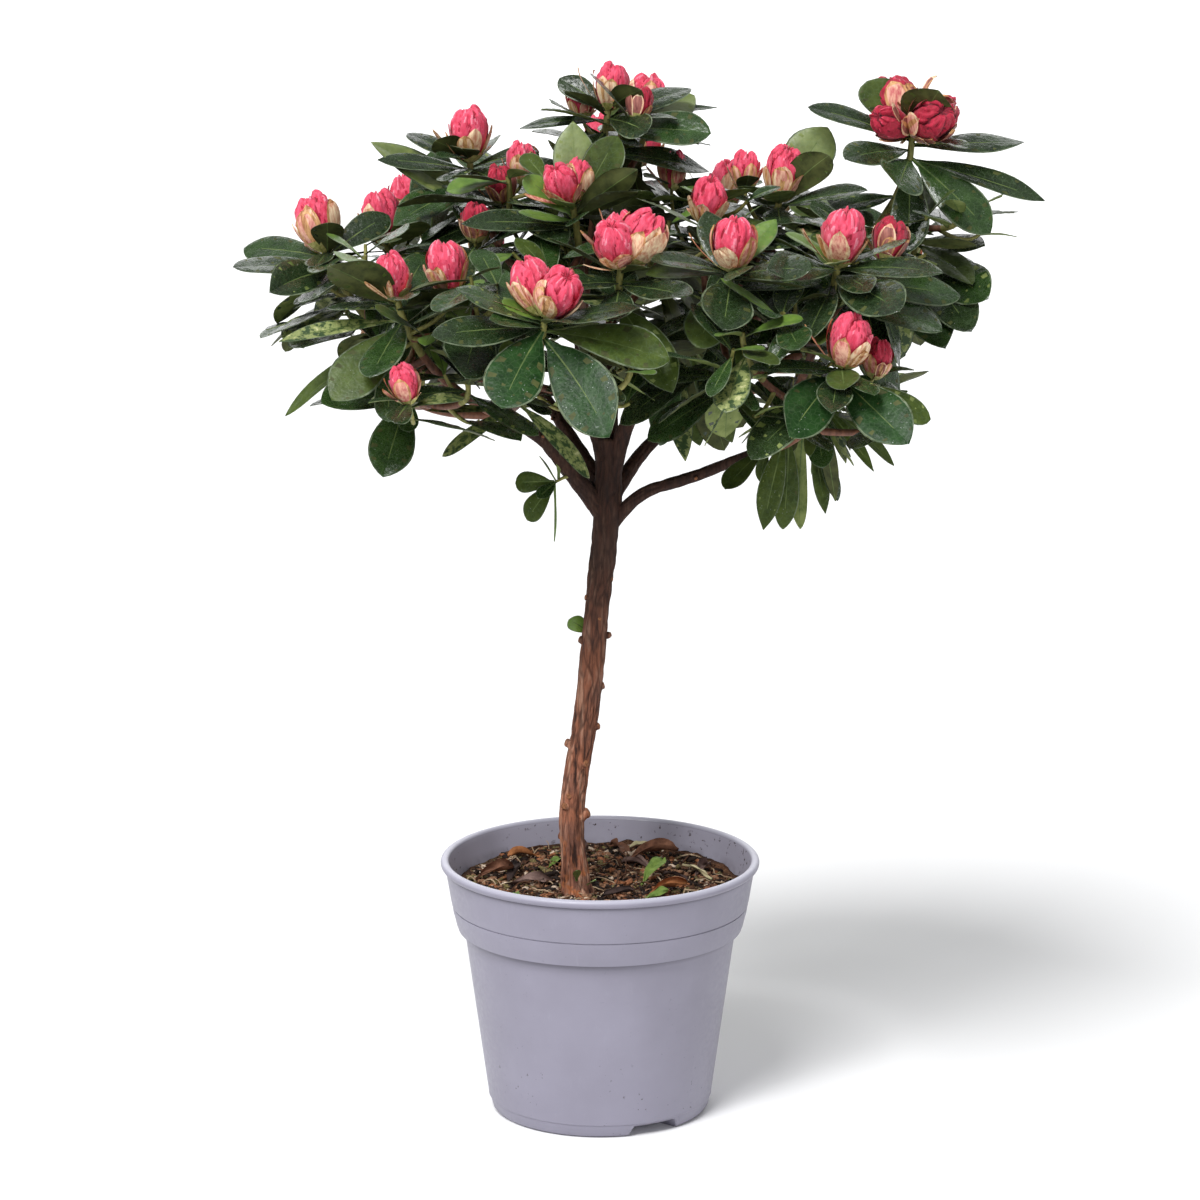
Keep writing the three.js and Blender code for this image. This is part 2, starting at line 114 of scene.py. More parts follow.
# A draw below a limit takes that crumb
CRUMB_LIMITS = {
    "crumb_dark": 0.4, "crumb_brown": 0.66, "crumb_rust": 0.8, "crumb_moss": 0.92, "crumb_pale": 1,
}
FIBRES = 290
FIBRE_LENGTH = (4, 13)
FIBRE_BOW = 0.25
FIBRE_LIFT = 0.5
FIBRE_RISE = (0.2, 2.6)
FIBRE_END_RISE = 4
FIBRE_SPREAD = BAND_FOOT_RADIUS - 7
FIBRE_RADIUS = (0.18, 0.42)
FIBRE_REACH = BAND_FOOT_RADIUS - 4
FIBRE_STEPS = 7
FIBRE_SIDES = 5
PALE_FIBRES = 0.3
DEAD_ROWS = 13
DEAD_COLUMNS = 9
DEAD_STALK_HALF = 0.4
DEAD_LEAST_CURL = 0.3
DEAD_ARCH = 0.1
DEAD_CRUMPLE = 0.11
DEAD_SWAY = 0.08
DEAD_CLEARANCE = 0.3
DEAD_LOOKS = {
    "dead_brown": ((84, 54, 40), (138, 96, 74), 240),
    "dead_dark": ((38, 30, 30), (74, 58, 54), 240),
    "dead_mauve": ((92, 72, 68), (140, 116, 108), 240),
    "dead_tan": ((122, 74, 42), (178, 118, 74), 240),
    "fallen_green": ((72, 98, 40), (124, 146, 70), 240),
    "fallen_pale": ((176, 172, 130), (212, 196, 160), 240),
    "lichen": ((140, 140, 120), (184, 182, 160), 240),
}
# Dead leaves seen on the soil: x, y, bearing, rise, length, width, curl, twist and number of the finish
FALLEN = (
    (-50, 12, 20, 0.2, 19, 12, 2.3, 0.6, 0), (-42, 16, 80, 0.4, 16, 11, 2.6, 0.9, 1),
    (-33, 6, 8, 0.05, 24, 8, 2.0, 0.7, 2), (25, 36, 15, 0.2, 26, 15, 1.9, 0.4, 0),
    (18, 28, 150, 0.1, 18, 9, 2.0, 0.6, 2), (31, -10, 20, 0.2, 22, 11, 2.7, 0.9, 3),
    (13, -34, 350, 0.0, 22, 6, 2.6, 0.6, 3), (8, -22, 30, 0.1, 18, 6, 1.8, 0.4, 1),
    (-26, -38, 100, 0.05, 13, 7, 1.9, 0.5, 2), (44, -34, 40, 0.05, 10, 5, 1.5, 0.6, 3),
    (-12, 40, 60, 0.1, 22, 12, 2.0, 0.5, 2), (10, 50, 120, 0.1, 20, 11, 1.9, 0.7, 0),
    (-36, 42, 200, 0.1, 18, 10, 2.1, 0.5, 3), (48, 22, 70, 0.12, 17, 9, 2.2, 0.5, 2),
    (27, -20, 70, 0.3, 10, 6, 1.6, 0.7, 0), (-16, 24, 130, 0.2, 12, 6, 1.8, 0.7, 3),
    (52, -6, 20, 0.1, 11, 6, 1.6, 0.5, 0), (36, 8, 160, 0.1, 14, 7, 1.8, 0.6, 1),
)
FALLEN_LIFT = 0.4
# Green leaves and pale scraps, which are nearly flat: x, y, bearing, rise, length, width and finish
SCRAPS = (
    (-38, -36, 96, 0.35, 15, 5.5, 4), (25, 8, 60, 0.45, 20, 8, 4), (26, -24, 40, 0.25, 15, 5, 4),
    (-22, 30, 60, 0.3, 10, 4, 4), (52, -20, 20, 0.2, 8, 5, 4), (-58, -12, 150, 0.3, 9, 5, 4),
    (46, 16, 150, 0.3, 16, 8, 5), (40, -44, 60, 0.3, 11, 5, 6), (-50, -30, 10, 0.2, 14, 10, 6),
    (-44, -24, 70, 0.1, 12, 9, 6), (18, 56, 10, 0.2, 12, 6, 5),
)
SCRAP_LIFT = 0.6
SCRAP_CURL = 0.5
SCRAP_TWIST = 0.4

# Trunk and boughs
TRUNK_LINE = (
    (-10, -9, 98), (-10.8, -8, 106), (-13.1, -6, 145), (-5.8, -4, 196), (-1.4, -2, 242), (2.8, 0, 281),
    (4.6, 0, 322),
)
TRUNK_RADIUS = 5.8
TRUNK_FLARE = 2.4
TRUNK_FLARE_HEIGHT = 9
TRUNK_STEPS = 380
TRUNK_SIDES = 64
TRUNK_READINGS = 400
MOST_FLARE = 1.4 * TRUNK_FLARE
LIMB_END = 0.9
FORK_SWELL = 0.9
FORK_HEIGHT = 290
FORK_SPREAD = 14
BOUGHS = {
    "left": dict(line=((1, 0, 288), (-14, -5, 307), (-28, -11, 325), (-47, -18, 336)), radius=(4.2, 3)),
    "right": dict(line=((4, 0, 281), (20, -3, 296), (45, -8, 306), (74, -17, 319)), radius=(3.1, 2.4)),
    "upper_left": dict(line=((3, 0, 312), (-4, 3, 336), (-9, 2, 368)), radius=(4.2, 3)),
    "upper_right": dict(line=((5, 0, 306), (13, -5, 330), (32, -14, 362)), radius=(4, 2.8)),
    "back": dict(line=((4, 1, 310), (5, 17, 334), (4, 44, 358)), radius=(3.8, 2.7)),
    "back_left": dict(line=((2, 1, 297), (-12, 18, 316), (-32, 40, 344)), radius=(3.6, 2.6)),
    "back_right": dict(line=((4, 1, 292), (20, 16, 312), (50, 38, 338)), radius=(3.6, 2.6)),
}
BOUGH_STEPS = 110
BOUGH_SIDES = 36
BOUGH_COLLAR = 1.3
BOUGH_COLLAR_LENGTH = 7
# Layers of bark relief: height, width round the limb, length along it and step in the noise between limbs
BARK_SWAY = (0.8, 5, 14, 1)
BARK_PLATES = (1, 2.1, 20, 7)
BARK_CRACKED = (4, 7, 30, 3)
BARK_ROUGH = ((0.5, 6, 22, 5), (0.3, 1.1, 5, 11), (0.22, 0.8, 11, 13))
CRACK_WIDTH = 0.13
CRACK_DEPTH = 0.45
FULL_RELIEF_RADIUS = 4
# Cut twig ends on the trunk: height, bearing round it, length and radius
STUBS = (
    (175.8, 182, 2.2, 1.9), (167.2, -52, 1.6, 1.8), (184, -12, 2.4, 1.7), (203.2, 0, 1.8, 1.7),
    (224.7, 180, 1.8, 1.7), (245.4, 200, 1.0, 1.3), (226.7, 4, 3.0, 1.3), (147, 236, 1.2, 1.9),
    (142, -5, 3.2, 2.4), (214, 120, 1.8, 1.6), (160, 95, 2.2, 1.9), (192, 60, 1.6, 1.5),
    (262, 130, 1.4, 1.4), (131, 150, 1.8, 1.8), (236, -70, 0.9, 1.2), (152, -110, 0.8, 1.4),
    (254, -20, 1.0, 1.2),
)
# A stub's rings: share of its length and width as a share of its radius
STUB_FORM = (
    (0, 1.7), (0.3, 1.3), (0.55, 1.12), (0.78, 1.08), (0.92, 0.88), (1, 0.55), (0.98, 0.3), (0.96, 0.03),
)
STUB_SIDES = 12
STUB_CRACK = 0.2
STUB_DENTS = 0.28
STUB_SLOPE = 0.35
STUB_SUNK = 1.6
STUB_ROOT = 1.4
STUB_WORN_ROW = 4
STUBS_PER_BOUGH = 3
BOUGH_STUB_FROM = (0.3, 0.95)
BOUGH_STUB_TILT = 70
BOUGH_STUB_SUNK = 1.2
BOUGH_STUB_LENGTH = (1.2, 3.2)
BOUGH_STUB_RADIUS = 0.9
TWIG_LOOKS = {
    "twig_brown": ((84, 50, 38), (128, 84, 62)),
    "twig_green": ((104, 104, 48), (150, 146, 84)),
}

# Crown: a flattened dome whose outward slope leans the shoots
CROWN_CENTRE = Vector((12, 0, 335))
CROWN_HALF = Vector((165, 150, 135))
CROWN_LOW = (410, 320)
CROWN_FLOOR = 334
BUD_FAN = 36


def mass(bough, tip, sides, spread, turn, buds, **special):
    """A mass: its bough, its stem's end, its side shoots, their spread and first bearing, and its buds."""
    usual = dict(size=1, bud=1, fan=BUD_FAN, first=0, hang=0, floor=CROWN_FLOOR, budded=())
    grown = dict(bough=bough, tip=tip, sides=sides, spread=spread, turn=turn, buds=buds)
    return {**usual, **grown, **special}


MASSES = {
    "top": mass("upper_left", (4, 8, 474), 1, 38, 200, 1, budded=(1,)),
    "upper_left": mass("upper_left", (-60, 20, 449), 3, 44, 160, 1, budded=(2,)),
    "centre": mass("upper_left", (-12, -32, 433), 2, 40, 100, 2, first=60, bud=0.84),
    "front_centre": mass("upper_right", (9, -84, 412), 2, 42, 66, 3, first=60),
    "front_right": mass("upper_right", (58, -80, 413), 2, 40, 80, 1, budded=(1,)),
    "mid_right": mass("upper_right", (82, -4, 434), 2, 42, 120, 1),
    "far_right": mass("upper_right", (142, 2, 462), 1, 40, 250, 4, first=32, fan=66),
    "left_tip": mass("left", (-125, -8, 411), 2, 40, 200, 1, size=1.1),
    "left_front": mass("left", (-90, -68, 398), 2, 46, 210, 1),
    "front_left": mass("left", (-24, -108, 394), 2, 44, 160, 2, budded=(1,), first=135, floor=352),
    "low_left": mass("left", (-92, -34, 358), 2, 40, 190, 1),
    "right_front": mass("right", (105, -72, 414), 2, 42, 20, 1),
    "low_right": mass("right", (106, -98, 373), 2, 44, 330, 1, bud=1.25),
    "hang_right": mass("right", (100, -26, 344), 2, 34, 200, 0, hang=0.9, floor=290),
    "right": mass("back_right", (150, 34, 414), 2, 44, 330, 0, budded=(1,)),
    "back_right": mass("back_right", (84, 92, 414), 3, 48, 40, 1, budded=(1, 3)),
    "back_low_right": mass("back_right", (112, 84, 354), 2, 44, 0, 1, budded=(1,)),
    "back": mass("back", (12, 84, 436), 3, 46, 60, 2, budded=(2, 3), first=180),
    "back_low": mass("back", (20, 132, 378), 2, 48, 0, 1, budded=(1, 2)),
    "back_left": mass("back_left", (-86, 72, 412), 2, 46, 20, 1, budded=(2,)),
    "back_low_left": mass("back_left", (-78, 92, 352), 2, 44, 150, 1, budded=(1, 2)),
}
# Budding spurs that the photo shows: mass, share of the stem where it leaves, end and size of its bud
SEEN_SPURS = (
    ("upper_left", 0.66, (-56, -30, 419), 0.86), ("upper_left", 0.74, (-44, -8, 433), 0.86),
    ("upper_left", 0.8, (-36, 15, 439), 0.9), ("left_front", 0.8, (-66, -72, 401), 0.95),
    ("mid_right", 0.8, (66, 0, 438), 0.82), ("low_right", 0.84, (121, -84, 366), 0.8),
    ("right_front", 0.84, (127, -48, 412), 0.86), ("back_right", 0.6, (33, 20, 436), 0.85),
    ("top", 0.86, (-8, 22, 468), 0.8), ("top", 0.9, (17, 0, 470), 0.72),
    ("low_left", 0.85, (-84, -97, 357), 0.85),
)
# The first draw key of the seen spurs, and those of the shoots whose buds are in painted shade, with darker
# copies of the petal and bract finishes
SPUR_KEY = 60
SHADED_BUD_KEYS = (7, 60, 61, 65, 66, 69)
# Leaves that the photo shows, by mass: distance below the stem's end, tip, slimness and kind
SEEN_LEAVES = {
    "front_left": (
        (5, (-44, -140, 361), 0.55, "fresh"), (9, (6, -138, 350), 0.48, "fresh"),
        (4, (-72, -128, 388), 0.38, "deep"), (6, (30, -122, 380), 0.42, "mid"),
        (3, (-62, -120, 408), 0.4, "dark"), (3, (17, -126, 402), 0.4, "deep"),
        (85, (-71, -50, 323), 0.3, "mottled"), (70, (-3, -60, 317), 0.24, "mottled"),
        (95, (-77, -44, 343), 0.22, "mottled"),
    ),
    "low_right": (
        (14, (64, -120, 338), 0.42, "deep"), (6, (80, -135, 348), 0.46, "fresh"),
        (7, (131, -130, 342), 0.48, "fresh"), (12, (145, -95, 349), 0.4, "mid"),
        (2, (105, -122, 366), 0.6, "mid"), (4, (66, -118, 372), 0.38, "dark"),
    ),
    "far_right": (
        (3, (125, 8, 487), 0.6, "mid"), (3, (152, -22, 485), 0.7, "mid"), (4, (95, 0, 475), 0.3, "deep"),
        (8, (111, -20, 455), 0.56, "deep"), (6, (193, 12, 454), 0.34, "deep"),
        (12, (202, 0, 430), 0.22, "deep"), (14, (141, -24, 413), 0.42, "deep"),
        (11, (177, -18, 420), 0.44, "dark"), (12, (133, -34, 441), 0.62, "dark"),
        (30, (101, -10, 428), 0.36, "dark"),
    ),
    "left_tip": (
        (9, (-166, -22, 402), 0.4, "deep"), (5, (-164, 10, 409), 0.42, "dark"),
        (11, (-147, -52, 400), 0.42, "deep"), (4, (-98, 12, 424), 0.4, "deep"),
    ),
    "left_front": (
        (4, (-118, -92, 416), 0.56, "mid"), (12, (-140, -88, 382), 0.17, "mottled"),
        (14, (-116, -92, 354), 0.46, "mid"), (16, (-141, -70, 348), 0.15, "mid"),
    ),
    "right": (
        (5, (175, 0, 408), 0.36, "deep"), (12, (177, -20, 386), 0.36, "dark"),
        (18, (170, -30, 380), 0.3, "deep"), (20, (153, -30, 370), 0.36, "dark"),
        (8, (171, -10, 396), 0.3, "mid"),
    ),
    "hang_right": (
        (24, (73, -36, 287), 0.27, "mid"), (22, (86, -30, 285), 0.26, "mid"),
        (12, (88, -20, 284), 0.16, "mottled"), (2, (108, -24, 297), 0.16, "mid"),
        (34, (72, -22, 306), 0.36, "mid"), (6, (102, -40, 315), 0.42, "dark"),
        (1, (125, -40, 315), 0.14, "mid"), (1, (135, -30, 317), 0.16, "mid"),
        (36, (56, -40, 305), 0.34, "mid"),
    ),
    "low_left": ((12, (-96, -62, 316), 0.48, "dark"), (10, (-86, -50, 334), 0.44, "dark")),
    "right_front": (
        (4, (72, -104, 414), 0.42, "deep"), (4, (148, -92, 414), 0.4, "deep"),
        (8, (127, -116, 400), 0.48, "deep"), (10, (160, -60, 396), 0.4, "dark"),
        (16, (150, -86, 386), 0.5, "dark"),
    ),
    "front_right": (
        (6, (54, -116, 392), 0.58, "deep"), (4, (24, -98, 420), 0.34, "deep"),
        (5, (92, -104, 416), 0.4, "deep"), (84, (36, -45, 320), 0.22, "mottled"),
        (86, (46, -25, 323), 0.3, "mid"), (70, (61, -30, 326), 0.32, "mid"),
        (78, (23, -45, 329), 0.34, "dark"), (74, (58, -22, 321), 0.36, "dark"),
        (66, (66, -25, 333), 0.4, "mid"),
    ),
    "front_centre": ((6, (-22, -112, 408), 0.44, "deep"), (7, (38, -116, 404), 0.46, "deep")),
    "mid_right": (
        (3, (103, 10, 464), 0.54, "pale"), (5, (80, -38, 424), 0.46, "deep"),
        (3, (100, -16, 456), 0.5, "mid"), (5, (121, -16, 438), 0.34, "deep"),
    ),
    "top": (
        (3, (-18, 18, 486), 0.46, "deep"), (2, (17, -8, 484), 0.56, "mid"),
        (7, (-36, 0, 467), 0.28, "deep"), (6, (22, -16, 466), 0.58, "deep"),
        (7, (41, 22, 481), 0.42, "deep"), (10, (50, -6, 461), 0.46, "dark"),
        (12, (45, 34, 475), 0.5, "pale"), (10, (54, 34, 474), 0.12, "deep"),
        (12, (-10, -26, 448), 0.46, "deep"), (22, (50, 18, 445), 0.4, "deep"),
    ),
    "upper_left": (
        (3, (-89, 30, 458), 0.42, "deep"), (24, (-106, 20, 454), 0.36, "pale"),
        (2, (-75, 6, 460), 0.56, "deep"), (6, (-101, 8, 449), 0.3, "deep"),
        (5, (-28, 18, 452), 0.34, "deep"), (6, (-47, -6, 441), 0.62, "deep"),
        (9, (-18, 10, 447), 0.32, "deep"), (14, (-95, -6, 424), 0.46, "dark"),
    ),
    "centre": (
        (4, (-11, -20, 470), 0.46, "pale"), (4, (16, -46, 451), 0.36, "mid"),
        (6, (15, -58, 443), 0.34, "mid"), (5, (-34, -30, 446), 0.4, "young"),
        (7, (-35, -52, 431), 0.34, "young"), (10, (-62, -50, 429), 0.28, "deep"),
        (5, (-9, -48, 428), 0.75, "dark"), (4, (8, -20, 463), 0.44, "mid"),
    ),
}
# Leaves of small shoots on the left bough and the trunk: root, direction, length, slimness, kind and roll
STRAYS = (
    ((-21, -9, 303), (-1, -0.2, 0.06), 18, 0.56, "mid", -62),
    ((-21, -9, 302), (-0.68, -0.3, -0.66), 21, 0.5, "mid", -50),
    ((-20, -9, 303), (-0.5, 0.1, 0.85), 14, 0.2, "young", 0),
    ((-19, -8, 304), (0.02, -0.1, 1), 13, 0.22, "young", 0),
    ((-20, -9, 303), (-0.5, -0.6, -0.3), 14, 0.5, "dark", -30),
    ((-21, -9, 302), (0.06, -0.1, -1), 27, 0.06, "young", 0),
    ((-5, 2, 229), (-0.72, -0.1, 0.7), 11.5, 0.74, "young", -75),
    ((-11, -15, 114), (0.05, -0.5, 0.85), 8, 0.5, "young", 0),
    ((-6, -14.5, 112), (0.6, -0.5, 0.6), 6, 0.55, "young", 0),
)
STRAY_KEY = 77
STRAY_MASS = "front_left"
STRAY_TWIG = ((-13, -6, 305.5), (-17, -8, 304.5), (-21, -9, 302.5))
STRAY_TWIG_RADII = ((0.9,), (0.8,), (0.6,))
# Where the photo shows sky between leaves: x, z and radius on the upright plane through the pot's middle
OPEN_SKY = (
    (-138, 343, 7.4), (-126, 357, 6.4), (-144, 336, 5.5), (-143, 394, 4.6), (-109, 412, 4.1),
    (-107, 422, 3.7), (-105, 430, 3.7), (-37, 459, 5.5), (-24, 453, 3.2), (179, 407, 4.1), (178, 393, 4.1),
    (167, 372, 4.6), (164, 357, 3.7), (147, 358, 3.7), (148, 343, 3.7), (146, 328, 3.7), (-117, 331, 4.1),
    (-108, 334, 3.2), (128, 429, 4.1), (55, 451, 4.1), (57, 443, 3.7),
)
# Leaves are joined in three groups of masses, so that each piece stays small
GROUPS = {
    "left": ("top", "upper_left", "centre", "left_tip", "left_front", "front_left", "low_left"),
    "right": (
        "front_centre", "front_right", "mid_right", "far_right", "right_front", "low_right", "hang_right",
    ),
    "back": ("right", "back_right", "back_low_right", "back", "back_low", "back_left", "back_low_left"),
}

# Shoots: the source's rule, carried one order further to short spurs
SHOOT_LEAN = 0.36
SHOOT_WANDER = 0.22
SPREAD_WANDER = 0.2
SIDE_FROM = (0.45, 0.75)
SIDE_SINK = 0.4
SHOOT_CURL = 0.4
STEM = dict(radius=(2.4, 1.5), leaves=12, length=(24, 54), stalk=(1.5, 26))
SIDE = dict(radius=(1.8, 1.3), leaves=10, length=(22, 52), stalk=(1.5, 24))
SPUR = dict(radius=(1.1, 0.8), leaves=5, length=(18, 40), stalk=(0.6, 12))
SPURS_PER_SHOOT = 2
SPUR_FROM = (0.35, 0.8)
SPUR_REACH = (15, 27)
SPUR_TILT = (45, 75)
CURVE_STEPS = 33
SHOOT_STEPS = 16
SHOOT_SIDES = 8
# The first rings of a shoot lie in what carries it, so they aren't tested for room
SHOOT_FREE = 5
GREEN_FROM = 0.62
# Plain tubes stand for the trunk and the boughs in the test for room
LIMB_TEST_STEPS = 14
LIMB_TEST_SIDES = 8
TRUNK_TEST_RADIUS = 7

# Whorls: leaves round a shoot's end, by the golden angle, from the youngest to the oldest
LENGTH_WANDER = 0.16
LEAF_TILT = (50, 90)
TILT_WANDER = 13
DROOP = 0.14
LOW_DROOP = 0.4
CROWDING = 1.5
GOLDEN_ANGLE = 137.5
ATTEMPTS = 6
NUDGE = (23, 6)
WHORL_REACH = 30
FEWEST_LEAVES = 4

# A leaf: rows from stalk to tip, columns from edge to edge
LEAF_ROWS = 12
LEAF_COLUMNS = (-1, -0.93, -0.48, -0.06, 0.06, 0.48, 0.93, 1)
LEAF_RIB_COLUMN = 3
LEAF_RIB_ROWS = 8
LEAF_TEST_ROWS = (2, 4, 7, 9, 11, 12)
LEAF_TEST_COLUMNS = (0, 3, 7)
LEAF_STALK = 0.07
LEAF_SLIMNESS = (0.4, 0.54)
HANGING_SLIMNESS = (0.2, 0.3)
LEAF_SWEEP = 0.07
LEAF_RIB = 0.34
LEAF_THICKNESS = 0.35
LEAF_QUILT = 0.4
LEAF_SAG = 0.12
SHORT_LEAF = 34
SHORT_BLUNT = (0.45, 0.72)
LONG_BLUNT = (0.58, 0.9)
LEAF_TAPER = (0.75, 1.0)
LEAF_FOLD = (0.02, 0.24)
LEAF_ROLL = math.radians(20)
LEAF_TWIST = math.radians(22)
LEAF_BEND = 0.06
LEAF_WAVE = 0.07
SAG_WANDER = 0.07
STALK_HALF = (0.75, 0.3)
SEEN_SAG = 0.1
SEEN_ROLL = (26, 76)
SEEN_STEEP = (0.45, 0.85)
FRONT = Vector((0, -0.97, 0.24))
LEAF_KINDS = ("deep", "dark", "mid", "young", "pale", "mottled", "fresh")
HANGING_KINDS = ("mid", "dark", "mid", "mottled")
PALE_KINDS = ("young", "pale", "mottled")
BACKLIT_UNDER = 0.25
YOUNG_AGE = 0.25
YOUNG_DRAW = 0.3
DEEP_DRAW = 0.42
MID_DRAW = 0.8
MOTTLED_DRAW = 0.97
LOW_MOTTLED_DRAW = 0.9
LOW_END = 400
# Upper sides: dark and light colour, gloss, pale specks that are partly painted glints, relief and shine
LEAF_LOOKS = {
    "deep": ((19, 33, 13), (40, 58, 27), 0.27, 0.4, 0.8, 0.6),
    "dark": ((24, 46, 14), (50, 76, 32), 0.27, 0.3, 0.7, 0.6),
    "mid": ((48, 64, 22), (78, 94, 38), 0.4, 0.3, 0.5, 0.25),
    "young": ((70, 102, 34), (108, 138, 54), 0.38, 0.15, 0.4, 0.6),
    "pale": ((86, 102, 48), (122, 136, 76), 0.44, 0.1, 0.3, 0.6),
    "fresh": ((16, 42, 14), (38, 70, 30), 0.38, 0.7, 0.6, 0.2),
}
# Lower sides: a dark olive one, and a paler one that young leaves have and that a share of older leaves get
# as painted light shining through them; then the midrib and the rim
UNDER_LOOKS = {
    "under": ((50, 56, 26), (80, 86, 44)),
    "under_young_and_backlit": ((92, 108, 52), (130, 142, 82)),
    "rib": ((66, 88, 44), (108, 124, 70)),
    # The rim: the leaf's hairy margin and a painted sheen on it
    "edge": ((58, 74, 48), (122, 134, 108)),
}
LEAF_FINISHES = (*LEAF_KINDS, *UNDER_LOOKS)

# Buds: petals wrapped in a ruffled oval, in papery bracts
BUD_LENGTH = 24.5
BUD_RADIUS = 9
BUD_WANDER = 0.14
BUD_SUNK = 2.8
BUD_STALK = 1.5
BUD_WIDEST = 1.5
BUD_FULLNESS = 0.36
BUD_FOOT = 0.08
BUD_TEST_SHARES = (0.05, 0.97)
BUD_TEST_ROWS = 6
BUD_TEST_SIDES = 8
HEART_ROWS = 18
HEART_COLUMNS = 78
PETALS = 3
PETAL_ROWS = 14
PETAL_COLUMNS = 15
PETAL_HALF_ANGLE = (0.5, 0.85)
PETAL_TOP = (0.7, 0.93)
LARGE_BRACTS = 6
SMALL_BRACTS = 4
LOOSE_BRACTS = 1
LOOSE_CHANCE = 0.4
LARGE_TOP = (0.52, 0.72)
COVERED_TOP = 0.24
SMALL_TOP = (0.16, 0.3)
LARGE_HALF_ANGLE = (0.4, 0.6)
SMALL_HALF_ANGLE = (0.45, 0.6)
LOOSE_HALF_ANGLE = 0.16
LARGE_FLARE = (0, 1.8)
LOOSE_FLARE = 9
SMALL_GREEN = 0.8
LARGE_GREEN = (0.16, 0.34)
BRACT_ROWS = 11
BRACT_COLUMNS = 9
# Petal finishes from dark to light: the deepest painted shade, painted shade, the plain pink and a painted
# highlight
PETAL_LOOKS = {
    "petal_deepest_shade": ((92, 6, 26), (136, 14, 42)),
    "petal_shade": ((150, 14, 42), (192, 36, 68)),
    "petal_bright": ((210, 50, 82), (238, 94, 124)),
    "petal_highlight": ((232, 100, 128), (248, 150, 168)),
}
# The last bract finish is a darker copy of the blush one, a painted shade for buds under the leaves
BRACT_LOOKS = {
    "bract_green": ((146, 146, 74), (198, 190, 124)),
    "bract_cream": ((208, 142, 112), (250, 224, 186)),
    "bract_blush": ((196, 96, 98), (240, 188, 162)),
    "bract_tan": ((154, 96, 58), (222, 172, 118)),
    "bract_shaded_blush": ((120, 64, 62), (176, 114, 102)),
}
GREEN, CREAM, BLUSH, TAN, SHADED_BLUSH = range(len(BRACT_LOOKS))

# Camera, floor and light: places and sizes in metres, angles in degrees, lens and sensor in millimetres
CAMERA_PLACE = (0, -2.0, 0.6904)
CAMERA_PITCH = 12.549
CAMERA_LENS = 132.315
CAMERA_SENSOR = 36
FLOOR_REACH = 30
SKY_COLOUR = (0.97, 0.985, 1, 1)
SKY_STRENGTH = 0.34
SUN_HEADING = Vector((0.35, 0.65, -1))
SUN_STRENGTH = 2.7
SUN_SPREAD = 24
LAMP_AIM = Vector((0, 0, 0.35))
# Lamps: place, width and height, and power in watts
LAMPS = {
    "key": ((-1.1, -1.7, 1.5), (0.4, 0.4), 11),
    "fill": ((1.3, -1.7, 0.9), (0.5, 0.5), 5),
    "backdrop": ((0, 6.6, 3.3), (9, 5), 250),
}


def chance(*keys):
    """A number from 0 to 1, always the same for the same keys, as in the part's source."""
    mixed = 0x9E3779B9
    for key in keys:
        mixed = ((mixed ^ key) * 0x85EBCA6B) & 0xFFFFFFFF
        mixed ^= mixed >> 13
        mixed = (mixed * 0xC2B2AE35) & 0xFFFFFFFF
        mixed ^= mixed >> 16
    return mixed / 2**32


def wander(*keys):
    return 2 * chance(*keys) - 1


def phase(*keys):
    """An angle of up to about one turn, in radians."""
    return 6.28 * chance(*keys)


def mix(pair, share):
    return pair[0] + (pair[1] - pair[0]) * share


def normalised(rows):
    return rows / np.linalg.norm(rows, axis=-1, keepdims=True)


def round_angles(count):
    return np.linspace(0, 2 * np.pi, count, endpoint=False)


# Meshes


def placed(name, data):
    """A new object in the scene that shows this data."""
    made = bpy.data.objects.new(name, data)
    bpy.context.scene.collection.objects.link(made)
    return made


class Joined:
    """Things of one kind, gathered into one mesh."""

    def __init__(self):
        self.points = []
        self.faces = []
        self.finishes = []
        self.marks = []
        self.total = 0

    def add(self, points, faces, finish=0, marks=0.0):
        points = np.asarray(points, float).reshape(-1, 3)
        self.points.append(points)
        self.faces.append(faces + self.total)
        self.finishes.append(np.broadcast_to(finish, len(faces)))
        self.marks.append(np.broadcast_to(marks, len(points)))
        self.total += len(points)

    def piece(self, name, materials, replaced=(), mark_name=None, sharp=None):
        mesh = bpy.data.meshes.new(name)
        points = np.vstack(self.points) * MILLIMETRE
        mesh.from_pydata(points.tolist(), [], np.vstack(self.faces).tolist())
        mesh.polygons.foreach_set("material_index", np.concatenate(self.finishes).astype(np.int32))
        mesh.polygons.foreach_set("use_smooth", np.ones(len(mesh.polygons), bool))
        for material in materials:
            mesh.materials.append(material)
        if mark_name:
            attribute = mesh.attributes.new(mark_name, "FLOAT", "POINT")
            attribute.data.foreach_set("value", np.concatenate(self.marks).astype(np.float32))
        if sharp:
            mesh.set_sharp_from_angle(angle=math.radians(sharp))
        mesh.update()
        made = placed(name, mesh)
        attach(made, "root")
        if replaced:
            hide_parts(*replaced)


def grid_faces(rows, columns, closed=False):
    """The quads of a grid of points, whose last column is joined to its first where it is closed."""
    index = np.arange(rows * columns).reshape(rows, columns)
    beside = np.roll(index, -1, axis=1)
    if not closed:
        index = index[:, :-1]
        beside = beside[:, :-1]
    corners = (index[:-1], beside[:-1], beside[1:], index[1:])
    return np.stack([corner.ravel() for corner in corners], axis=1)


def sheet(grid):
    """A grid of points and its quads."""
    return grid, grid_faces(*grid.shape[:2])


def tube(grid):
    """A grid of points and its quads, closed round."""
    return grid, grid_faces(*grid.shape[:2], closed=True)


def laid(root, forward, along, sideways, across, raised, face):
    """Points from a root, by their distances along three directions."""
    points = np.array(root) + forward[..., None] * np.array(along)
    return points + sideways[..., None] * np.array(across) + raised[..., None] * np.array(face)


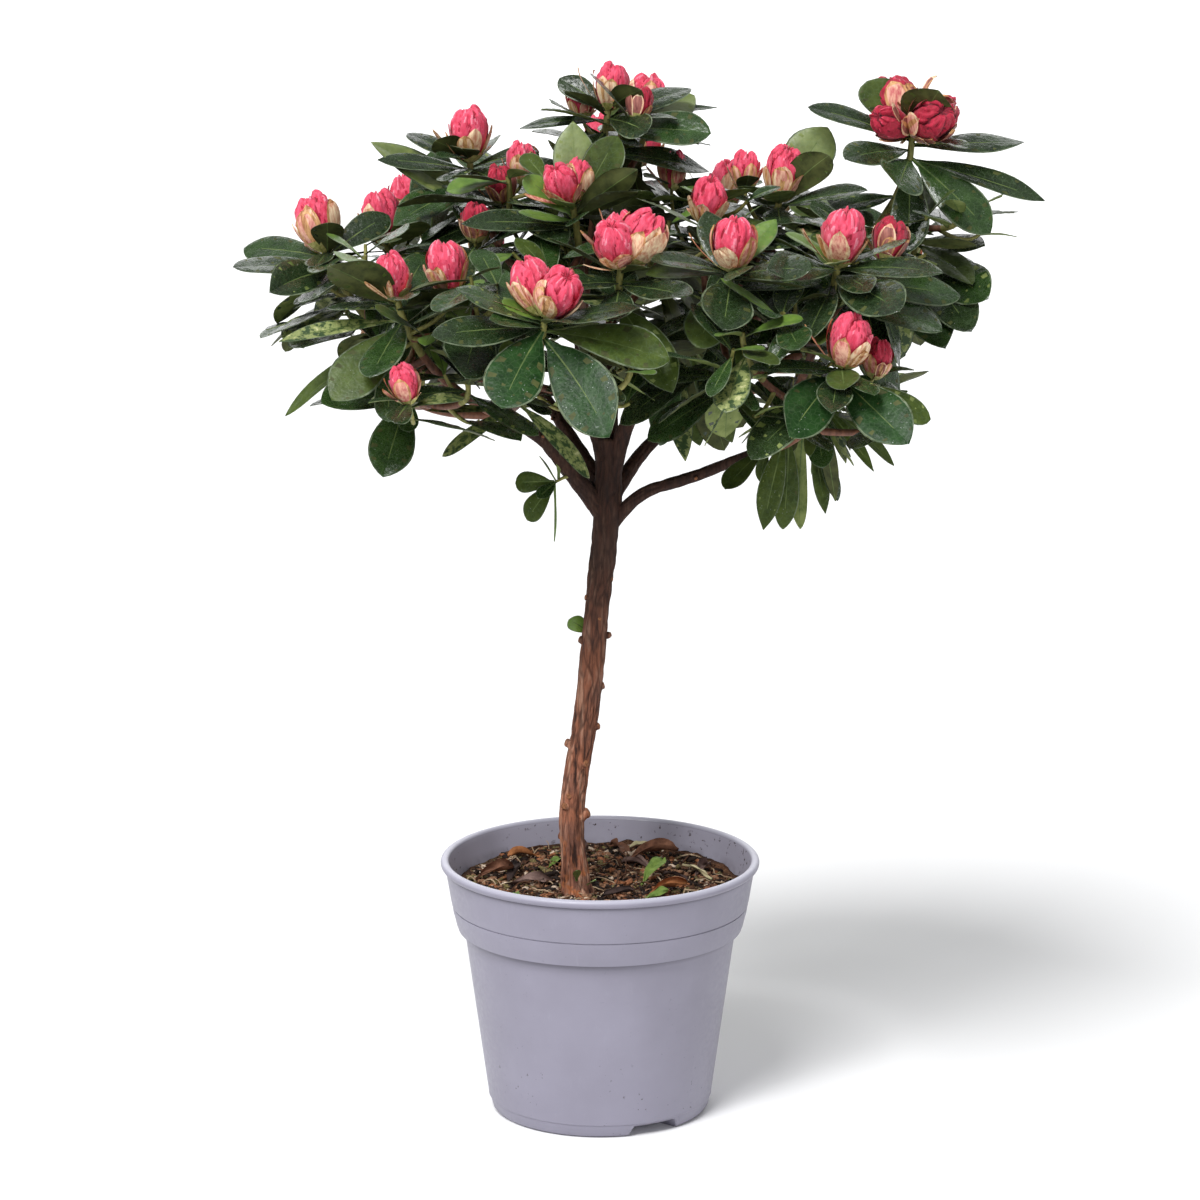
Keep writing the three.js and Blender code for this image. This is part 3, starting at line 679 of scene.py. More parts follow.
class Path:
    """A line of points that is read by the share of its length."""

    def __init__(self, points):
        self.points = np.asarray(points, float)
        steps = np.linalg.norm(np.diff(self.points, axis=0), axis=1)
        self.reach = np.concatenate([[0], np.cumsum(steps)])
        self.length = self.reach[-1]

    def evenly(self, shares):
        spots = np.asarray(shares) * self.length
        return np.stack([np.interp(spots, self.reach, self.points[:, k]) for k in range(3)], axis=-1)

    def at(self, share):
        return Vector(self.evenly(share))

    def heading(self, share, step=0.03):
        return (self.at(min(share + step, 1)) - self.at(max(share - step, 0))).normalized()

    def by_step(self, share):
        place = share * (len(self.points) - 1)
        step = min(int(place), len(self.points) - 2)
        return Vector(self.points[step] + (self.points[step + 1] - self.points[step]) * (place - step))


def spline(line, fineness=40):
    """A centripetal Catmull-Rom curve through the points of a line."""
    anchors = np.array(line, float)
    anchors = np.vstack([2 * anchors[0] - anchors[1], anchors, 2 * anchors[-1] - anchors[-2]])
    gaps = np.linalg.norm(np.diff(anchors, axis=0), axis=1) ** 0.5
    knots = np.concatenate([[0], np.cumsum(gaps)])

    def between(first, second, places, start, end):
        share = (places - knots[start]) / (knots[end] - knots[start])
        return first * (1 - share) + second * share

    fine = []
    for i in range(len(anchors) - 3):
        places = np.linspace(knots[i + 1], knots[i + 2], fineness)[:, None]
        low = [between(anchors[k], anchors[k + 1], places, k, k + 1) for k in range(i, i + 3)]
        high = [between(low[k], low[k + 1], places, i + k, i + k + 2) for k in range(2)]
        fine.append(between(*high, places, i + 1, i + 2))
    whole = np.vstack(fine)
    keep = np.concatenate([[True], np.linalg.norm(np.diff(whole, axis=0), axis=1) > 1e-6])
    return Path(whole[keep])


def rings_round(points, radii, sides):
    """Rings of points round a line; radii has one row a ring, and one or more columns."""
    headings = normalised(np.gradient(points, axis=0))
    angles = round_angles(sides)
    normal = np.cross((0, 1, 0), headings[0])
    rings = []
    for point, heading, radius in zip(points, headings, radii):
        normal = normal - heading * np.dot(normal, heading)
        normal = normal / np.linalg.norm(normal)
        binormal = np.cross(heading, normal)
        around = np.outer(np.cos(angles), normal) + np.outer(np.sin(angles), binormal)
        rings.append(point + around * np.reshape(radius, (-1, 1)))
    return np.array(rings)


# Materials


def tone(colour):
    """A screen colour, from 0 to 255 a channel, as the linear colour that a shader takes."""
    shares = [channel / 255 for channel in colour]
    return (*[s / 12.92 if s <= 0.04045 else ((s + 0.055) / 1.055) ** 2.4 for s in shares], 1)


class Finish:
    """A material with one principled shader, whose nodes are added a call at a time."""

    def __init__(self, name, roughness, specular):
        self.material = bpy.data.materials.new(name)
        self.material.use_nodes = True
        self.tree = self.material.node_tree
        self.shader = self.tree.nodes["Principled BSDF"]
        self.base = None
        self.places = self.tree.nodes.new("ShaderNodeTexCoord").outputs["Object"]
        self.shade("Roughness", roughness)
        self.shade("Specular IOR Level", specular)

    def put(self, value, socket):
        """A node's output or a plain value goes into a socket."""
        if isinstance(value, bpy.types.NodeSocket):
            self.tree.links.new(value, socket)
        else:
            socket.default_value = value

    def shade(self, name, value):
        self.put(value, self.shader.inputs[name])

    def node(self, kind, output, inputs, **settings):
        node = self.tree.nodes.new(f"ShaderNode{kind}")
        for name, value in settings.items():
            setattr(node, name, value)
        for name, value in inputs.items():
            self.put(value, node.inputs[name])
        return node.outputs[output]

    def stretched(self, stretch):
        """Places in the object, drawn together up and down so that a pattern on them is streaked."""
        if stretch == 1:
            return self.places
        return self.node("Mapping", "Vector", {"Vector": self.places, "Scale": (1, 1, stretch)})

    def noise(self, scale, detail=3, rough=0.55, stretch=1):
        inputs = {"Vector": self.stretched(stretch), "Scale": scale, "Detail": detail, "Roughness": rough}
        return self.node("TexNoise", "Fac", inputs)

    def cells(self, scale, feature="F1", stretch=1):
        inputs = {"Vector": self.stretched(stretch), "Scale": scale}
        return self.node("TexVoronoi", "Distance", inputs, feature=feature)

    def mark(self, name):
        return self.node("Attribute", "Fac", {}, attribute_name=name)

    def ranged(self, value, low, high, start=0.0, end=1.0):
        inputs = {"Value": value, "From Min": low, "From Max": high, "To Min": start, "To Max": end}
        return self.node("MapRange", "Result", inputs)

    def by_height(self, low, high, start=0.0, end=1.0):
        """A value that changes between two heights, which are in millimetres."""
        height = self.node("SeparateXYZ", "Z", {"Vector": self.places})
        return self.ranged(height, low * MILLIMETRE, high * MILLIMETRE, start, end)

    def combined(self, first, second, operation="MULTIPLY"):
        return self.node("Math", "Value", {0: first, 1: second}, operation=operation)

    def blended(self, factor, first, second):
        return self.node("Mix", 2, {"Factor": factor, 6: first, 7: second}, data_type="RGBA")

    def painted(self, factor, dark, light):
        """The base colour, from dark to light by a factor."""
        self.base = self.blended(factor, tone(dark), tone(light))

    def washed(self, factor, colour):
        """Another colour over the base, by a factor."""
        self.base = self.blended(factor, self.base, tone(colour))

    def finished(self, *bumps):
        """The material, with its base colour and its bumps: height, strength and distance."""
        self.shade("Base Color", self.base)
        normal = None
        for height, strength, distance in bumps:
            inputs = {"Height": height, "Strength": strength, "Distance": distance * MILLIMETRE}
            if normal:
                inputs["Normal"] = normal
            normal = self.node("Bump", "Normal", inputs)
        if normal:
            self.shade("Normal", normal)
        return self.material


def pot_plastic():
    finish = Finish("pot_plastic", roughness=0.42, specular=0.45)
    finish.painted(finish.ranged(finish.noise(28, 4), 0.3, 0.7), (134, 131, 146), (143, 140, 156))
    scuffs = finish.noise(160, 5, 0.7, stretch=0.25)
    finish.washed(finish.ranged(scuffs, 0.62, 0.8, 0, 0.3), (160, 158, 174))
    specks = finish.ranged(finish.noise(480, 3, 0.6), 0.67, 0.7)
    chosen = finish.ranged(finish.noise(40), 0.5, 0.56)
    dirt = finish.combined(finish.combined(specks, chosen), finish.by_height(12, 50, 0.8, 0.15))
    finish.washed(dirt, (52, 42, 38))
    # Painted shade in the corners under the band and under the lip: darker just below each
    for corner, reach, strength in ((SHOULDER + 0.1, 3.2, 0.6), (LIP_HEIGHT - LIP_BEAD + 0.1, 1.6, 0.55)):
        rising = finish.by_height(corner - reach, corner - 0.2, 0, strength)
        under = finish.by_height(corner, corner + 0.1, 1, 0)
        finish.washed(finish.combined(rising, under), (70, 66, 76))
    # A painted highlight along the top of the lip
    finish.washed(finish.by_height(119.6, 121.2, 0, 0.75), (196, 195, 210))
    finish.shade("Roughness", finish.ranged(finish.noise(420), 0.3, 0.7, 0.34, 0.5))
    return finish.finished((finish.noise(1500, 2), 0.12, 0.15), (scuffs, 0.06, 0.3))


def pot_inside():
    finish = Finish("pot_inside", roughness=0.55, specular=0.4)
    finish.painted(finish.ranged(finish.noise(40, 4), 0.3, 0.7), (160, 157, 172), (170, 167, 183))
    specks = finish.ranged(finish.noise(420, 3, 0.6), 0.63, 0.67)
    dirt = finish.combined(specks, finish.ranged(finish.noise(45), 0.46, 0.54))
    clouds = finish.ranged(finish.noise(120, 4), 0.4, 0.7)
    near_soil = finish.combined(finish.by_height(102, 112, 1, 0), clouds)
    finish.washed(finish.combined(dirt, near_soil, "MAXIMUM"), (58, 44, 38))
    return finish.finished((dirt, 0.5, 0.4), (finish.noise(1500, 2), 0.1, 0.15))


def peat():
    finish = Finish("peat", roughness=0.95, specular=0.2)
    finish.painted(finish.ranged(finish.noise(70, 5, 0.65), 0.35, 0.65), (40, 27, 20), (108, 74, 53))
    moss = finish.ranged(finish.noise(38), 0.6, 0.72)
    grains = finish.noise(900, 4, 0.7)
    finish.washed(finish.combined(moss, finish.ranged(grains, 0.3, 0.6)), (96, 88, 50))
    finish.washed(finish.ranged(grains, 0.58, 0.72), (150, 118, 92))
    finish.washed(finish.ranged(grains, 0.44, 0.34), (16, 11, 9))
    return finish.finished((grains, 0.9, 1.0), (finish.cells(420), 0.6, 1.2))


def litter(name, dark, light, scale):
    finish = Finish(name, roughness=0.8, specular=0.25)
    finish.painted(finish.ranged(finish.noise(scale, 4, 0.65), 0.3, 0.7), dark, light)
    return finish.finished((finish.noise(scale * 2.5), 0.5, 0.4))


def bark():
    finish = Finish("bark", roughness=0.85, specular=0.25)
    streaks = finish.noise(300, 5, 0.65, stretch=0.12)
    flakes = finish.noise(520, 4, 0.7, stretch=0.3)
    plates = finish.cells(330, "DISTANCE_TO_EDGE", stretch=0.2)
    finish.painted(finish.ranged(finish.noise(60), 0.38, 0.62), (160, 100, 74), (130, 88, 72))
    finish.washed(finish.ranged(streaks, 0.5, 0.64, 0, 0.9), (194, 150, 126))
    # Peeled near the soil
    low = finish.by_height(110, 150, 0.85, 0)
    finish.washed(finish.combined(finish.ranged(finish.noise(150), 0.52, 0.6), low), (186, 112, 68))
    finish.washed(finish.ranged(streaks, 0.47, 0.34), (54, 33, 27))
    finish.washed(finish.ranged(flakes, 0.6, 0.7, 0, 0.6), (146, 88, 58))
    finish.washed(finish.ranged(plates, 0.02, 0.15, 0.5, 0), (48, 29, 23))
    finish.washed(finish.ranged(finish.mark("crack"), 0.2, 1, 0, 0.75), (40, 24, 20))
    # Painted shade of the crown: darker towards it
    finish.washed(finish.by_height(165, 268, 0, 0.9), (36, 23, 19))
    finish.shade("Roughness", finish.ranged(streaks, 0.3, 0.7, 0.74, 0.94))
    fine = finish.noise(1400)
    return finish.finished((plates, 0.7, 0.9), (streaks, 0.9, 1.0), (flakes, 0.8, 0.7), (fine, 0.4, 0.25))


def cut_wood():
    return litter("cut_wood", (92, 56, 40), (160, 108, 74), 900)


def twig(name, dark, light):
    finish = Finish(name, roughness=0.6, specular=0.4)
    streaks = finish.noise(520, 4, 0.6, stretch=0.3)
    finish.painted(finish.ranged(streaks, 0.35, 0.65), dark, light)
    return finish.finished((streaks, 0.4, 0.25))


def leaf_upper(name, dark, light, gloss, speckle_and_glint, relief, specular):
    """A leathery upper side: fine quilting, a faint net of veins, a broken gloss and pale specks, partly
    real and partly a painted glint.
    """
    finish = Finish(name, roughness=gloss, specular=specular)
    finish.shade("Sheen Weight", 0.05)
    finish.shade("Sheen Roughness", 0.4)
    finish.shade("Sheen Tint", tone((214, 226, 232)))
    finish.painted(finish.ranged(finish.noise(130, 4, 0.6), 0.32, 0.68), dark, light)
    grain = finish.noise(1500, 3, 0.6)
    quilt = finish.cells(620, "SMOOTH_F1")
    finish.washed(finish.ranged(quilt, 0.35, 0.75, 0, 0.35), light)
    veins = finish.cells(340, "DISTANCE_TO_EDGE")
    finish.washed(finish.ranged(veins, 0.01, 0.06, 0.13, 0), (112, 138, 100))
    # Pale dots: partly real specks, partly a painted glint
    dots = finish.ranged(finish.cells(760), 0.1, 0.2, 1, 0)
    chosen = finish.ranged(finish.noise(210), 0.52, 0.62, 0, speckle_and_glint)
    finish.washed(finish.combined(dots, chosen), (196, 204, 198))
    finish.shade("Roughness", finish.ranged(grain, 0.3, 0.7, gloss - 0.1, gloss + 0.12))
    return finish.finished((quilt, 0.5 * relief, 0.5), (grain, 0.45 * relief, 0.3))


def leaf_mottled():
    finish = Finish("leaf_mottled", roughness=0.45, specular=0.5)
    blots = finish.noise(260, 5, 0.7)
    finish.painted(finish.ranged(blots, 0.46, 0.52), (48, 70, 36), (136, 146, 90))
    finish.washed(finish.ranged(blots, 0.6, 0.66), (190, 190, 138))
    return finish.finished((finish.cells(620, "SMOOTH_F1"), 0.3, 0.4), (finish.noise(1500), 0.25, 0.2))


def leaf_under(name, dark, light):
    finish = Finish(name, roughness=0.62, specular=0.3)
    veins = finish.cells(300, "DISTANCE_TO_EDGE")
    finish.painted(finish.ranged(finish.noise(160), 0.35, 0.65), dark, light)
    finish.washed(finish.ranged(veins, 0.02, 0.1, 0.3, 0), light)
    return finish.finished((veins, 0.2, 0.3), (finish.noise(1300), 0.2, 0.2))


def petal(name, dark, light):
    finish = Finish(name, roughness=0.55, specular=0.35)
    finish.shade("Sheen Weight", 0.15)
    finish.shade("Subsurface Weight", 0.12)
    finish.shade("Subsurface Radius", (1, 0.25, 0.3))
    finish.shade("Subsurface Scale", 2 * MILLIMETRE)
    folds = finish.noise(460, 4, 0.6, stretch=0.4)
    finish.painted(finish.ranged(folds, 0.35, 0.65), dark, light)
    return finish.finished((folds, 0.9, 1.1), (finish.noise(1500), 0.25, 0.2))


def bract(name, dark, light):
    finish = Finish(name, roughness=0.5, specular=0.4)
    streaks = finish.noise(640, 5, 0.65, stretch=0.2)
    finish.painted(finish.ranged(streaks, 0.38, 0.6), dark, light)
    return finish.finished((streaks, 0.5, 0.5))


def all_of(finish, looks):
    """The materials of one kind, from a table of their looks."""
    return [finish(name, *look) for name, look in looks.items()]


# The pot


def straight(start, end, shares):
    """Points on a straight stretch of an outline."""
    return [(mix((start[0], end[0]), share), mix((start[1], end[1]), share)) for share in shares]


def pot_outline(notched):
    """The pot's outline from the middle of its underside, up its outside and down to the floor inside."""
    if notched:
        foot = [(DRAIN_INNER, 0), (DRAIN_INNER, DRAIN_HEIGHT), (SOLE_RADIUS, DRAIN_HEIGHT)]
        foot += [(FOOT_RADIUS - 0.9, DRAIN_HEIGHT + 0.1), (FOOT_RADIUS - 0.3, DRAIN_HEIGHT + 0.5)]
    else:
        foot = [(DRAIN_INNER, 0), (SOLE_RADIUS - 1, 0), (SOLE_RADIUS, 0.05)]
        foot += [(SOLE_RADIUS + 1.6, 0.7), (FOOT_RADIUS - 0.9, 2.4)]
    ridge = BAND_FOOT_RADIUS + RIDGE_STEP
    groove = BAND_FOOT_RADIUS - GROOVE
    bead = LIP_RADIUS - LIP_BEAD
    under_lip = LIP_HEIGHT - LIP_BEAD
    lip = np.radians(np.linspace(-85, 170, 18))
    wall_top = (bead - LIP_BEAD, LIP_HEIGHT)
    wall_foot = (BAND_FOOT_RADIUS - POT_WALL, BAND_FOOT)
    outline = [
        (0, 0), *foot,
        # The tapering side
        (FOOT_RADIUS - 0.25, FOOT - 0.2), (FOOT_RADIUS + 0.25, FOOT + 0.2),
        *straight((FOOT_RADIUS + 0.1, FOOT), (SHOULDER_RADIUS, SHOULDER), np.linspace(0.03, 0.98, 24)),
        (SHOULDER_RADIUS, SHOULDER - 0.1), (SHOULDER_RADIUS + 0.1, SHOULDER + 0.5),
        # The step and the rounded shoulder over it
        (SHELF_RADIUS - 0.1, SHOULDER + 0.3), (SHELF_RADIUS, SHOULDER),
        (SHELF_RADIUS + 0.3, SHOULDER + 0.1), (SHELF_RADIUS + 0.45, SHOULDER + 0.7),
        (SHELF_RADIUS + 1.1, SHOULDER + 2.4),
        (BAND_FOOT_RADIUS - 1.3, SHOULDER + 5), (BAND_FOOT_RADIUS - 0.35, SHOULDER + 8.6),
        # The groove and the band
        (BAND_FOOT_RADIUS, BAND_FOOT - 0.3), (groove, BAND_FOOT - 0.15),
        (groove, BAND_FOOT + 0.3), (ridge, BAND_FOOT + 0.4), (ridge + 0.05, BAND_FOOT + 0.8),
        *straight((ridge, BAND_FOOT), (BAND_TOP_RADIUS, under_lip), np.linspace(0.15, 0.97, 8)),
        (BAND_TOP_RADIUS - 0.25, under_lip + 0.2),
        # The beaded lip, and down the inside
        *[(bead + LIP_BEAD * math.cos(angle), LIP_HEIGHT + LIP_BEAD * math.sin(angle)) for angle in lip],
        *straight(wall_top, wall_foot, np.linspace(0.1, 1, 10)),
        (SHOULDER_RADIUS - POT_WALL, SHOULDER), (FOOT_RADIUS - POT_WALL, POT_FLOOR), (0.1, POT_FLOOR),
    ]
    return np.array(outline)


def make_pot():
    plain = pot_outline(False)
    notched = pot_outline(True)
    bearings = [DRAIN_BEARING + i * 360 / DRAIN_COUNT for i in range(DRAIN_COUNT)]
    columns = []
    for angle in np.linspace(-180, 180, POT_SIDES, endpoint=False):
        offset = min(abs((angle - bearing + 180) % 360 - 180) for bearing in bearings)
        # A channel's side walls lean a little and its roof is rounded into them
        open_share = min(1, max(0, DRAIN_HALF_ANGLE - offset) / DRAIN_LEAN) ** 0.5
        radii, heights = (plain + (notched - plain) * open_share).T
        turn = math.radians(angle)
        columns.append(np.stack([radii * math.cos(turn), radii * math.sin(turn), heights], axis=1))
    points, faces = tube(np.array(columns).transpose(1, 0, 2))
    lip_row = int(np.argmax(plain[:, 1]))
    is_inside = np.repeat(np.arange(len(plain) - 1) >= lip_row + INSIDE_ROWS_BELOW_LIP, POT_SIDES)
    pot = Joined()
    pot.add(points, faces, is_inside.astype(int))
    pot.piece("pot_shell", [pot_plastic(), pot_inside()], ["pot"], sharp=POT_SHARP)


# The soil and what lies on it


def soil_height(x, y):
    """The peat's surface, clodded, banked up to the back and dished towards the wall."""
    outer = max(0, (math.hypot(x, y) - SOIL_LEVEL_RADIUS) / (SOIL_EDGE - SOIL_LEVEL_RADIUS))
    clods = sum(height * noise.noise((x / width, y / width, level)) for height, width, level in CLODS)
    height, width, level = SOIL_GRAIN
    grain = height * abs(noise.noise((x / width, y / width, level)))
    return SOIL_TOP - SOIL_DISH * outer**1.5 + SOIL_BANK * max(0, y / SOIL_EDGE) + clods + grain


def make_soil():
    angles = round_angles(SOIL_SIDES)
    grid = []
    for radius in np.linspace(SOIL_MIDDLE_RADIUS, SOIL_EDGE + SOIL_SUNK, SOIL_RINGS):
        spots = [(radius * math.cos(angle), radius * math.sin(angle)) for angle in angles]
        grid.append([(x, y, soil_height(x, y)) for x, y in spots])
    for radius, height in SOIL_UNDERSIDE:
        grid.append([(radius * math.cos(angle), radius * math.sin(angle), height) for angle in angles])
    points, faces = tube(np.array(grid))
    soil = Joined()
    soil.add(points, faces[:, ::-1])
    soil.piece("soil_peat", [peat()], ["soil"])


def add_crumb(joined, ball, number):
    """A lump of peat, pushed out of round."""
    size = mix(CRUMB_SIZE, chance(number, 3) ** 3)
    radius = (SOIL_EDGE - 0.5 - 3 * size) * math.sqrt(chance(number, 1))
    angle = 2 * math.pi * chance(number, 2)
    x = radius * math.cos(angle)
    y = radius * math.sin(angle)
    shape = ball.copy()
    step = Vector((number * CRUMB_STEP, 0, 0))
    for point in shape.reshape(-1, 3):
        point *= 1 + CRUMB_DENTS * noise.noise(Vector(point * CRUMB_DENT_SCALE) + step)
    shape *= size * np.array((mix(CRUMB_STRETCH, chance(number, 4)), CRUMB_WIDTH, CRUMB_HEIGHT))
    turn = math.pi * chance(number, 5)
    lean = CRUMB_LEAN * wander(number, 7)
    turned = ((math.cos(turn), math.sin(turn), lean), (-math.sin(turn), math.cos(turn), 0), (0, 0, 1))
    shape = shape @ np.array(turned) + np.array((x, y, soil_height(x, y) + CRUMB_LIFT * size))
    draw = chance(number, 6)
    name = next(name for name, limit in CRUMB_LIMITS.items() if draw < limit)
    joined.add(*tube(shape), list(CRUMB_LOOKS).index(name))


def add_fibre(joined, number):
    """A bowed root fibre, raised in its middle and sometimes at one end."""
    radius = FIBRE_SPREAD * math.sqrt(chance(number, 11))
    angle = 2 * math.pi * chance(number, 12)
    heading = 2 * math.pi * chance(number, 13)
    length = mix(FIBRE_LENGTH, chance(number, 14))
    line = []
    for share in np.linspace(-0.5, 0.5, FIBRE_STEPS):
        bow = FIBRE_BOW * length * wander(number, 15) * (share**2 - 0.25) * 4
        x = radius * math.cos(angle) + length * share * math.cos(heading) - bow * math.sin(heading)
        y = radius * math.sin(angle) + length * share * math.sin(heading) + bow * math.cos(heading)
        reach = math.hypot(x, y)
        if reach > FIBRE_REACH:
            x *= FIBRE_REACH / reach
            y *= FIBRE_REACH / reach
        rise = mix(FIBRE_RISE, chance(number, 16) ** 2) * (1 - (2 * share) ** 2)
        end_rise = FIBRE_END_RISE * chance(number, 17) ** 4 * (share + 0.5)
        line.append((x, y, soil_height(x, y) + FIBRE_LIFT + rise + end_rise))
    thick = np.full((FIBRE_STEPS, 1), mix(FIBRE_RADIUS, chance(number, 18)))
    name = "fibre_pale" if chance(number, 19) < PALE_FIBRES else "fibre_dark"
    joined.add(*tube(rings_round(np.array(line), thick, FIBRE_SIDES)), list(CRUMB_LOOKS).index(name))


def add_fallen(joined, lift, x, y, bearing, rise, length, width, curl, twist, finish):
    """A dead leaf: a dry, crumpled blade, rolled up along its length and held above the soil."""
    share = np.linspace(0, 1, DEAD_ROWS)[:, None]
    side = np.linspace(-1, 1, DEAD_COLUMNS)[None, :]
    half = width / 2 * leaf_outline(share, taper=0.8, blunt=0.6) + DEAD_STALK_HALF
    roll = curl * side * (0.6 + 0.4 * share)
    across = half * np.sin(roll) / max(abs(curl), DEAD_LEAST_CURL)
    height = half * (1 - np.cos(roll)) / max(abs(curl), DEAD_LEAST_CURL)
    height = height + DEAD_ARCH * length * np.sin(np.pi * share)
    angle = twist * share
    crumple = np.array([[noise.noise((3 * s, 1.6 * t, x * 7.3)) for t in side[0]] for s in share[:, 0]])
    height = height + DEAD_CRUMPLE * length * crumple
    sway = DEAD_SWAY * length * np.roll(crumple, 3, axis=1)
    turned = across * np.cos(angle) - height * np.sin(angle) + sway
    raised = across * np.sin(angle) + height * np.cos(angle) + rise * length * share
    forward = (share - 0.5) * length + 0 * side
    heading = math.radians(bearing)
    along = (math.cos(heading), math.sin(heading), 0)
    beside = (-math.sin(heading), math.cos(heading), 0)
    root = (x, y, soil_height(x, y) + lift)
    blade = laid(root, forward, along, turned, beside, raised, UP)
    ground = np.array([[soil_height(*point[:2]) for point in row] for row in blade])
    blade[..., 2] = np.maximum(blade[..., 2], ground + DEAD_CLEARANCE)
    joined.add(*sheet(blade), finish)


def make_litter():
    turns = round_angles(CRUMB_COLUMNS)
    ball = np.array([
        [(math.sin(a) * math.cos(b), math.sin(a) * math.sin(b), -math.cos(a)) for b in turns]
        for a in np.linspace(CRUMB_CAP, np.pi - CRUMB_CAP, CRUMB_ROWS)
    ])
    crumbs = Joined()
    for number in range(CRUMBS):
        add_crumb(crumbs, ball, number)
    for number in range(FIBRES):
        add_fibre(crumbs, number)
    crumbs.piece("soil_crumbs", all_of(litter, CRUMB_LOOKS))

    fallen = Joined()
    for leaf in FALLEN:
        add_fallen(fallen, FALLEN_LIFT, *leaf)
    for *form, finish in SCRAPS:
        add_fallen(fallen, SCRAP_LIFT, *form, SCRAP_CURL, SCRAP_TWIST, finish)
    fallen.piece("soil_leaves", all_of(litter, DEAD_LOOKS))


# Trunk and boughs


def relief(angle, along, radius, seed):
    """How far the bark stands out, and how deep in a crack the place is."""
    around = Vector((math.cos(angle), math.sin(angle), 0)) * radius

    def layer(height, width, length, step, sway=0):
        place = (around.x / width + sway, around.y / width, along / length + seed * step)
        return height * noise.noise(place)

    plates = layer(*BARK_PLATES, sway=layer(*BARK_SWAY))
    crack = math.exp(-((plates / CRACK_WIDTH) ** 2))
    crack *= 0.5 + 0.5 * math.tanh(layer(*BARK_CRACKED) + 0.6)
    lumps, flakes, fibres = [layer(*rough) for rough in BARK_ROUGH]
    return lumps + flakes + fibres - CRACK_DEPTH * crack, crack


def add_limb(joined, path, radii, sides, seed):
    """A limb with bark relief, from its plain radii along a path."""
    shares = np.linspace(0, 1, len(radii))
    angles = round_angles(sides)
    rough = np.empty((len(radii), sides))
    cracks = np.empty((len(radii), sides))
    for row, (share, radius) in enumerate(zip(shares, radii)):
        for column, angle in enumerate(angles):
            rise, cracks[row, column] = relief(angle, share * path.length, radius, seed)
            rough[row, column] = radius + rise * min(1, radius / FULL_RELIEF_RADIUS)
    rough[-1] *= LIMB_END
    joined.add(*tube(rings_round(path.evenly(shares), rough, sides)), 0, cracks.ravel())


def trunk_radius(path, share):
    height = path.at(share).z
    flare = TRUNK_FLARE * math.exp(-(height - SOIL_TOP) / TRUNK_FLARE_HEIGHT)
    swell = FORK_SWELL * math.exp(-(((height - FORK_HEIGHT) / FORK_SPREAD) ** 2))
    return TRUNK_RADIUS + min(flare, MOST_FLARE) + swell


def add_stub(joined, foot, heading, length, radius):
    """A healed twig end: a short knob of bark with a worn, paler top."""
    shares, widths = np.array(STUB_FORM).T
    line = np.array([foot + heading * (length * share + 0.01 * i) for i, share in enumerate(shares)])
    rings = rings_round(line, (widths * radius)[:, None], STUB_SIDES)
    for point in rings.reshape(-1, 3):
        dent = STUB_DENTS * radius * noise.noise(Vector(point) / (1.3 * radius))
        point += dent * np.array(heading.orthogonal())
    is_worn = np.repeat(np.arange(len(STUB_FORM) - 1) >= STUB_WORN_ROW, STUB_SIDES)
    joined.add(*tube(rings), is_worn.astype(int), STUB_CRACK)


def make_wood():
    path = spline(TRUNK_LINE)
    trunk = Joined()
    radii = [trunk_radius(path, share) for share in np.linspace(0, 1, TRUNK_STEPS)]
    add_limb(trunk, path, radii, TRUNK_SIDES, 1)
    shares = np.linspace(0, 1, TRUNK_READINGS)
    heights = path.evenly(shares)[:, 2]
    for height, bearing, length, radius in STUBS:
        share = float(np.interp(height, heights, shares))
        turn = math.radians(bearing)
        outward = Vector((math.cos(turn), math.sin(turn), STUB_SLOPE)).normalized()
        foot = path.at(share) + outward * (trunk_radius(path, share) - STUB_SUNK)
        add_stub(trunk, foot, outward, length + STUB_ROOT, radius)
    materials = [bark(), cut_wood()]
    trunk.piece("trunk_bark", materials, ["trunk"], "crack")

    boughs = Joined()
    for order, bough in enumerate(BOUGHS.values()):
        path = spline(bough["line"])
        shares = np.linspace(0, 1, BOUGH_STEPS)
        collars = [BOUGH_COLLAR * math.exp(-share * path.length / BOUGH_COLLAR_LENGTH) for share in shares]
        add_limb(boughs, path, mix(bough["radius"], shares) + collars, BOUGH_SIDES, 2 + order)
        for i in range(STUBS_PER_BOUGH):
            share = mix(BOUGH_STUB_FROM, chance(order, i, 41))
            outward = tipped(path.heading(share), BOUGH_STUB_TILT, 360 * chance(order, i, 42))
            foot = path.at(share) + outward * (mix(bough["radius"], share) - BOUGH_STUB_SUNK)
            length = mix(BOUGH_STUB_LENGTH, chance(order, i, 43))
            add_stub(boughs, foot, outward, length, BOUGH_STUB_RADIUS)
    boughs.piece("boughs_bark", materials, [f"bough_{name}" for name in BOUGHS], "crack")


# Growing the crown by the source's rule


class Shoot:
    """A curved twig with leaves and buds at its end, and the habit of its mass."""

    def __init__(self, key, kind, mass_name, start, end, axis, buds=0):
        self.key = key
        self.kind = kind
        self.mass = mass_name
        self.habit = dict(MASSES[mass_name])
        self.end = end
        self.axis = axis
        self.buds = buds
        self.is_kept = kind is STEM or buds > 0
        bend = np.array(end - axis * (SHOOT_CURL * (end - start).length))
        shares = np.linspace(0, 1, CURVE_STEPS)[:, None]
        line = (1 - shares) ** 2 * np.array(start) + 2 * shares * (1 - shares) * bend
        self.path = Path(line + shares**2 * np.array(end))

    def rings(self):
        shares = np.linspace(0, 1, SHOOT_STEPS)
        radii = mix(self.kind["radius"], shares)[:, None]
        return rings_round(self.path.evenly(shares), radii, SHOOT_SIDES)


def outwards(place):
    away = place - CROWN_CENTRE
    return Vector([away[k] / CROWN_HALF[k] ** 2 for k in range(3)]).normalized()


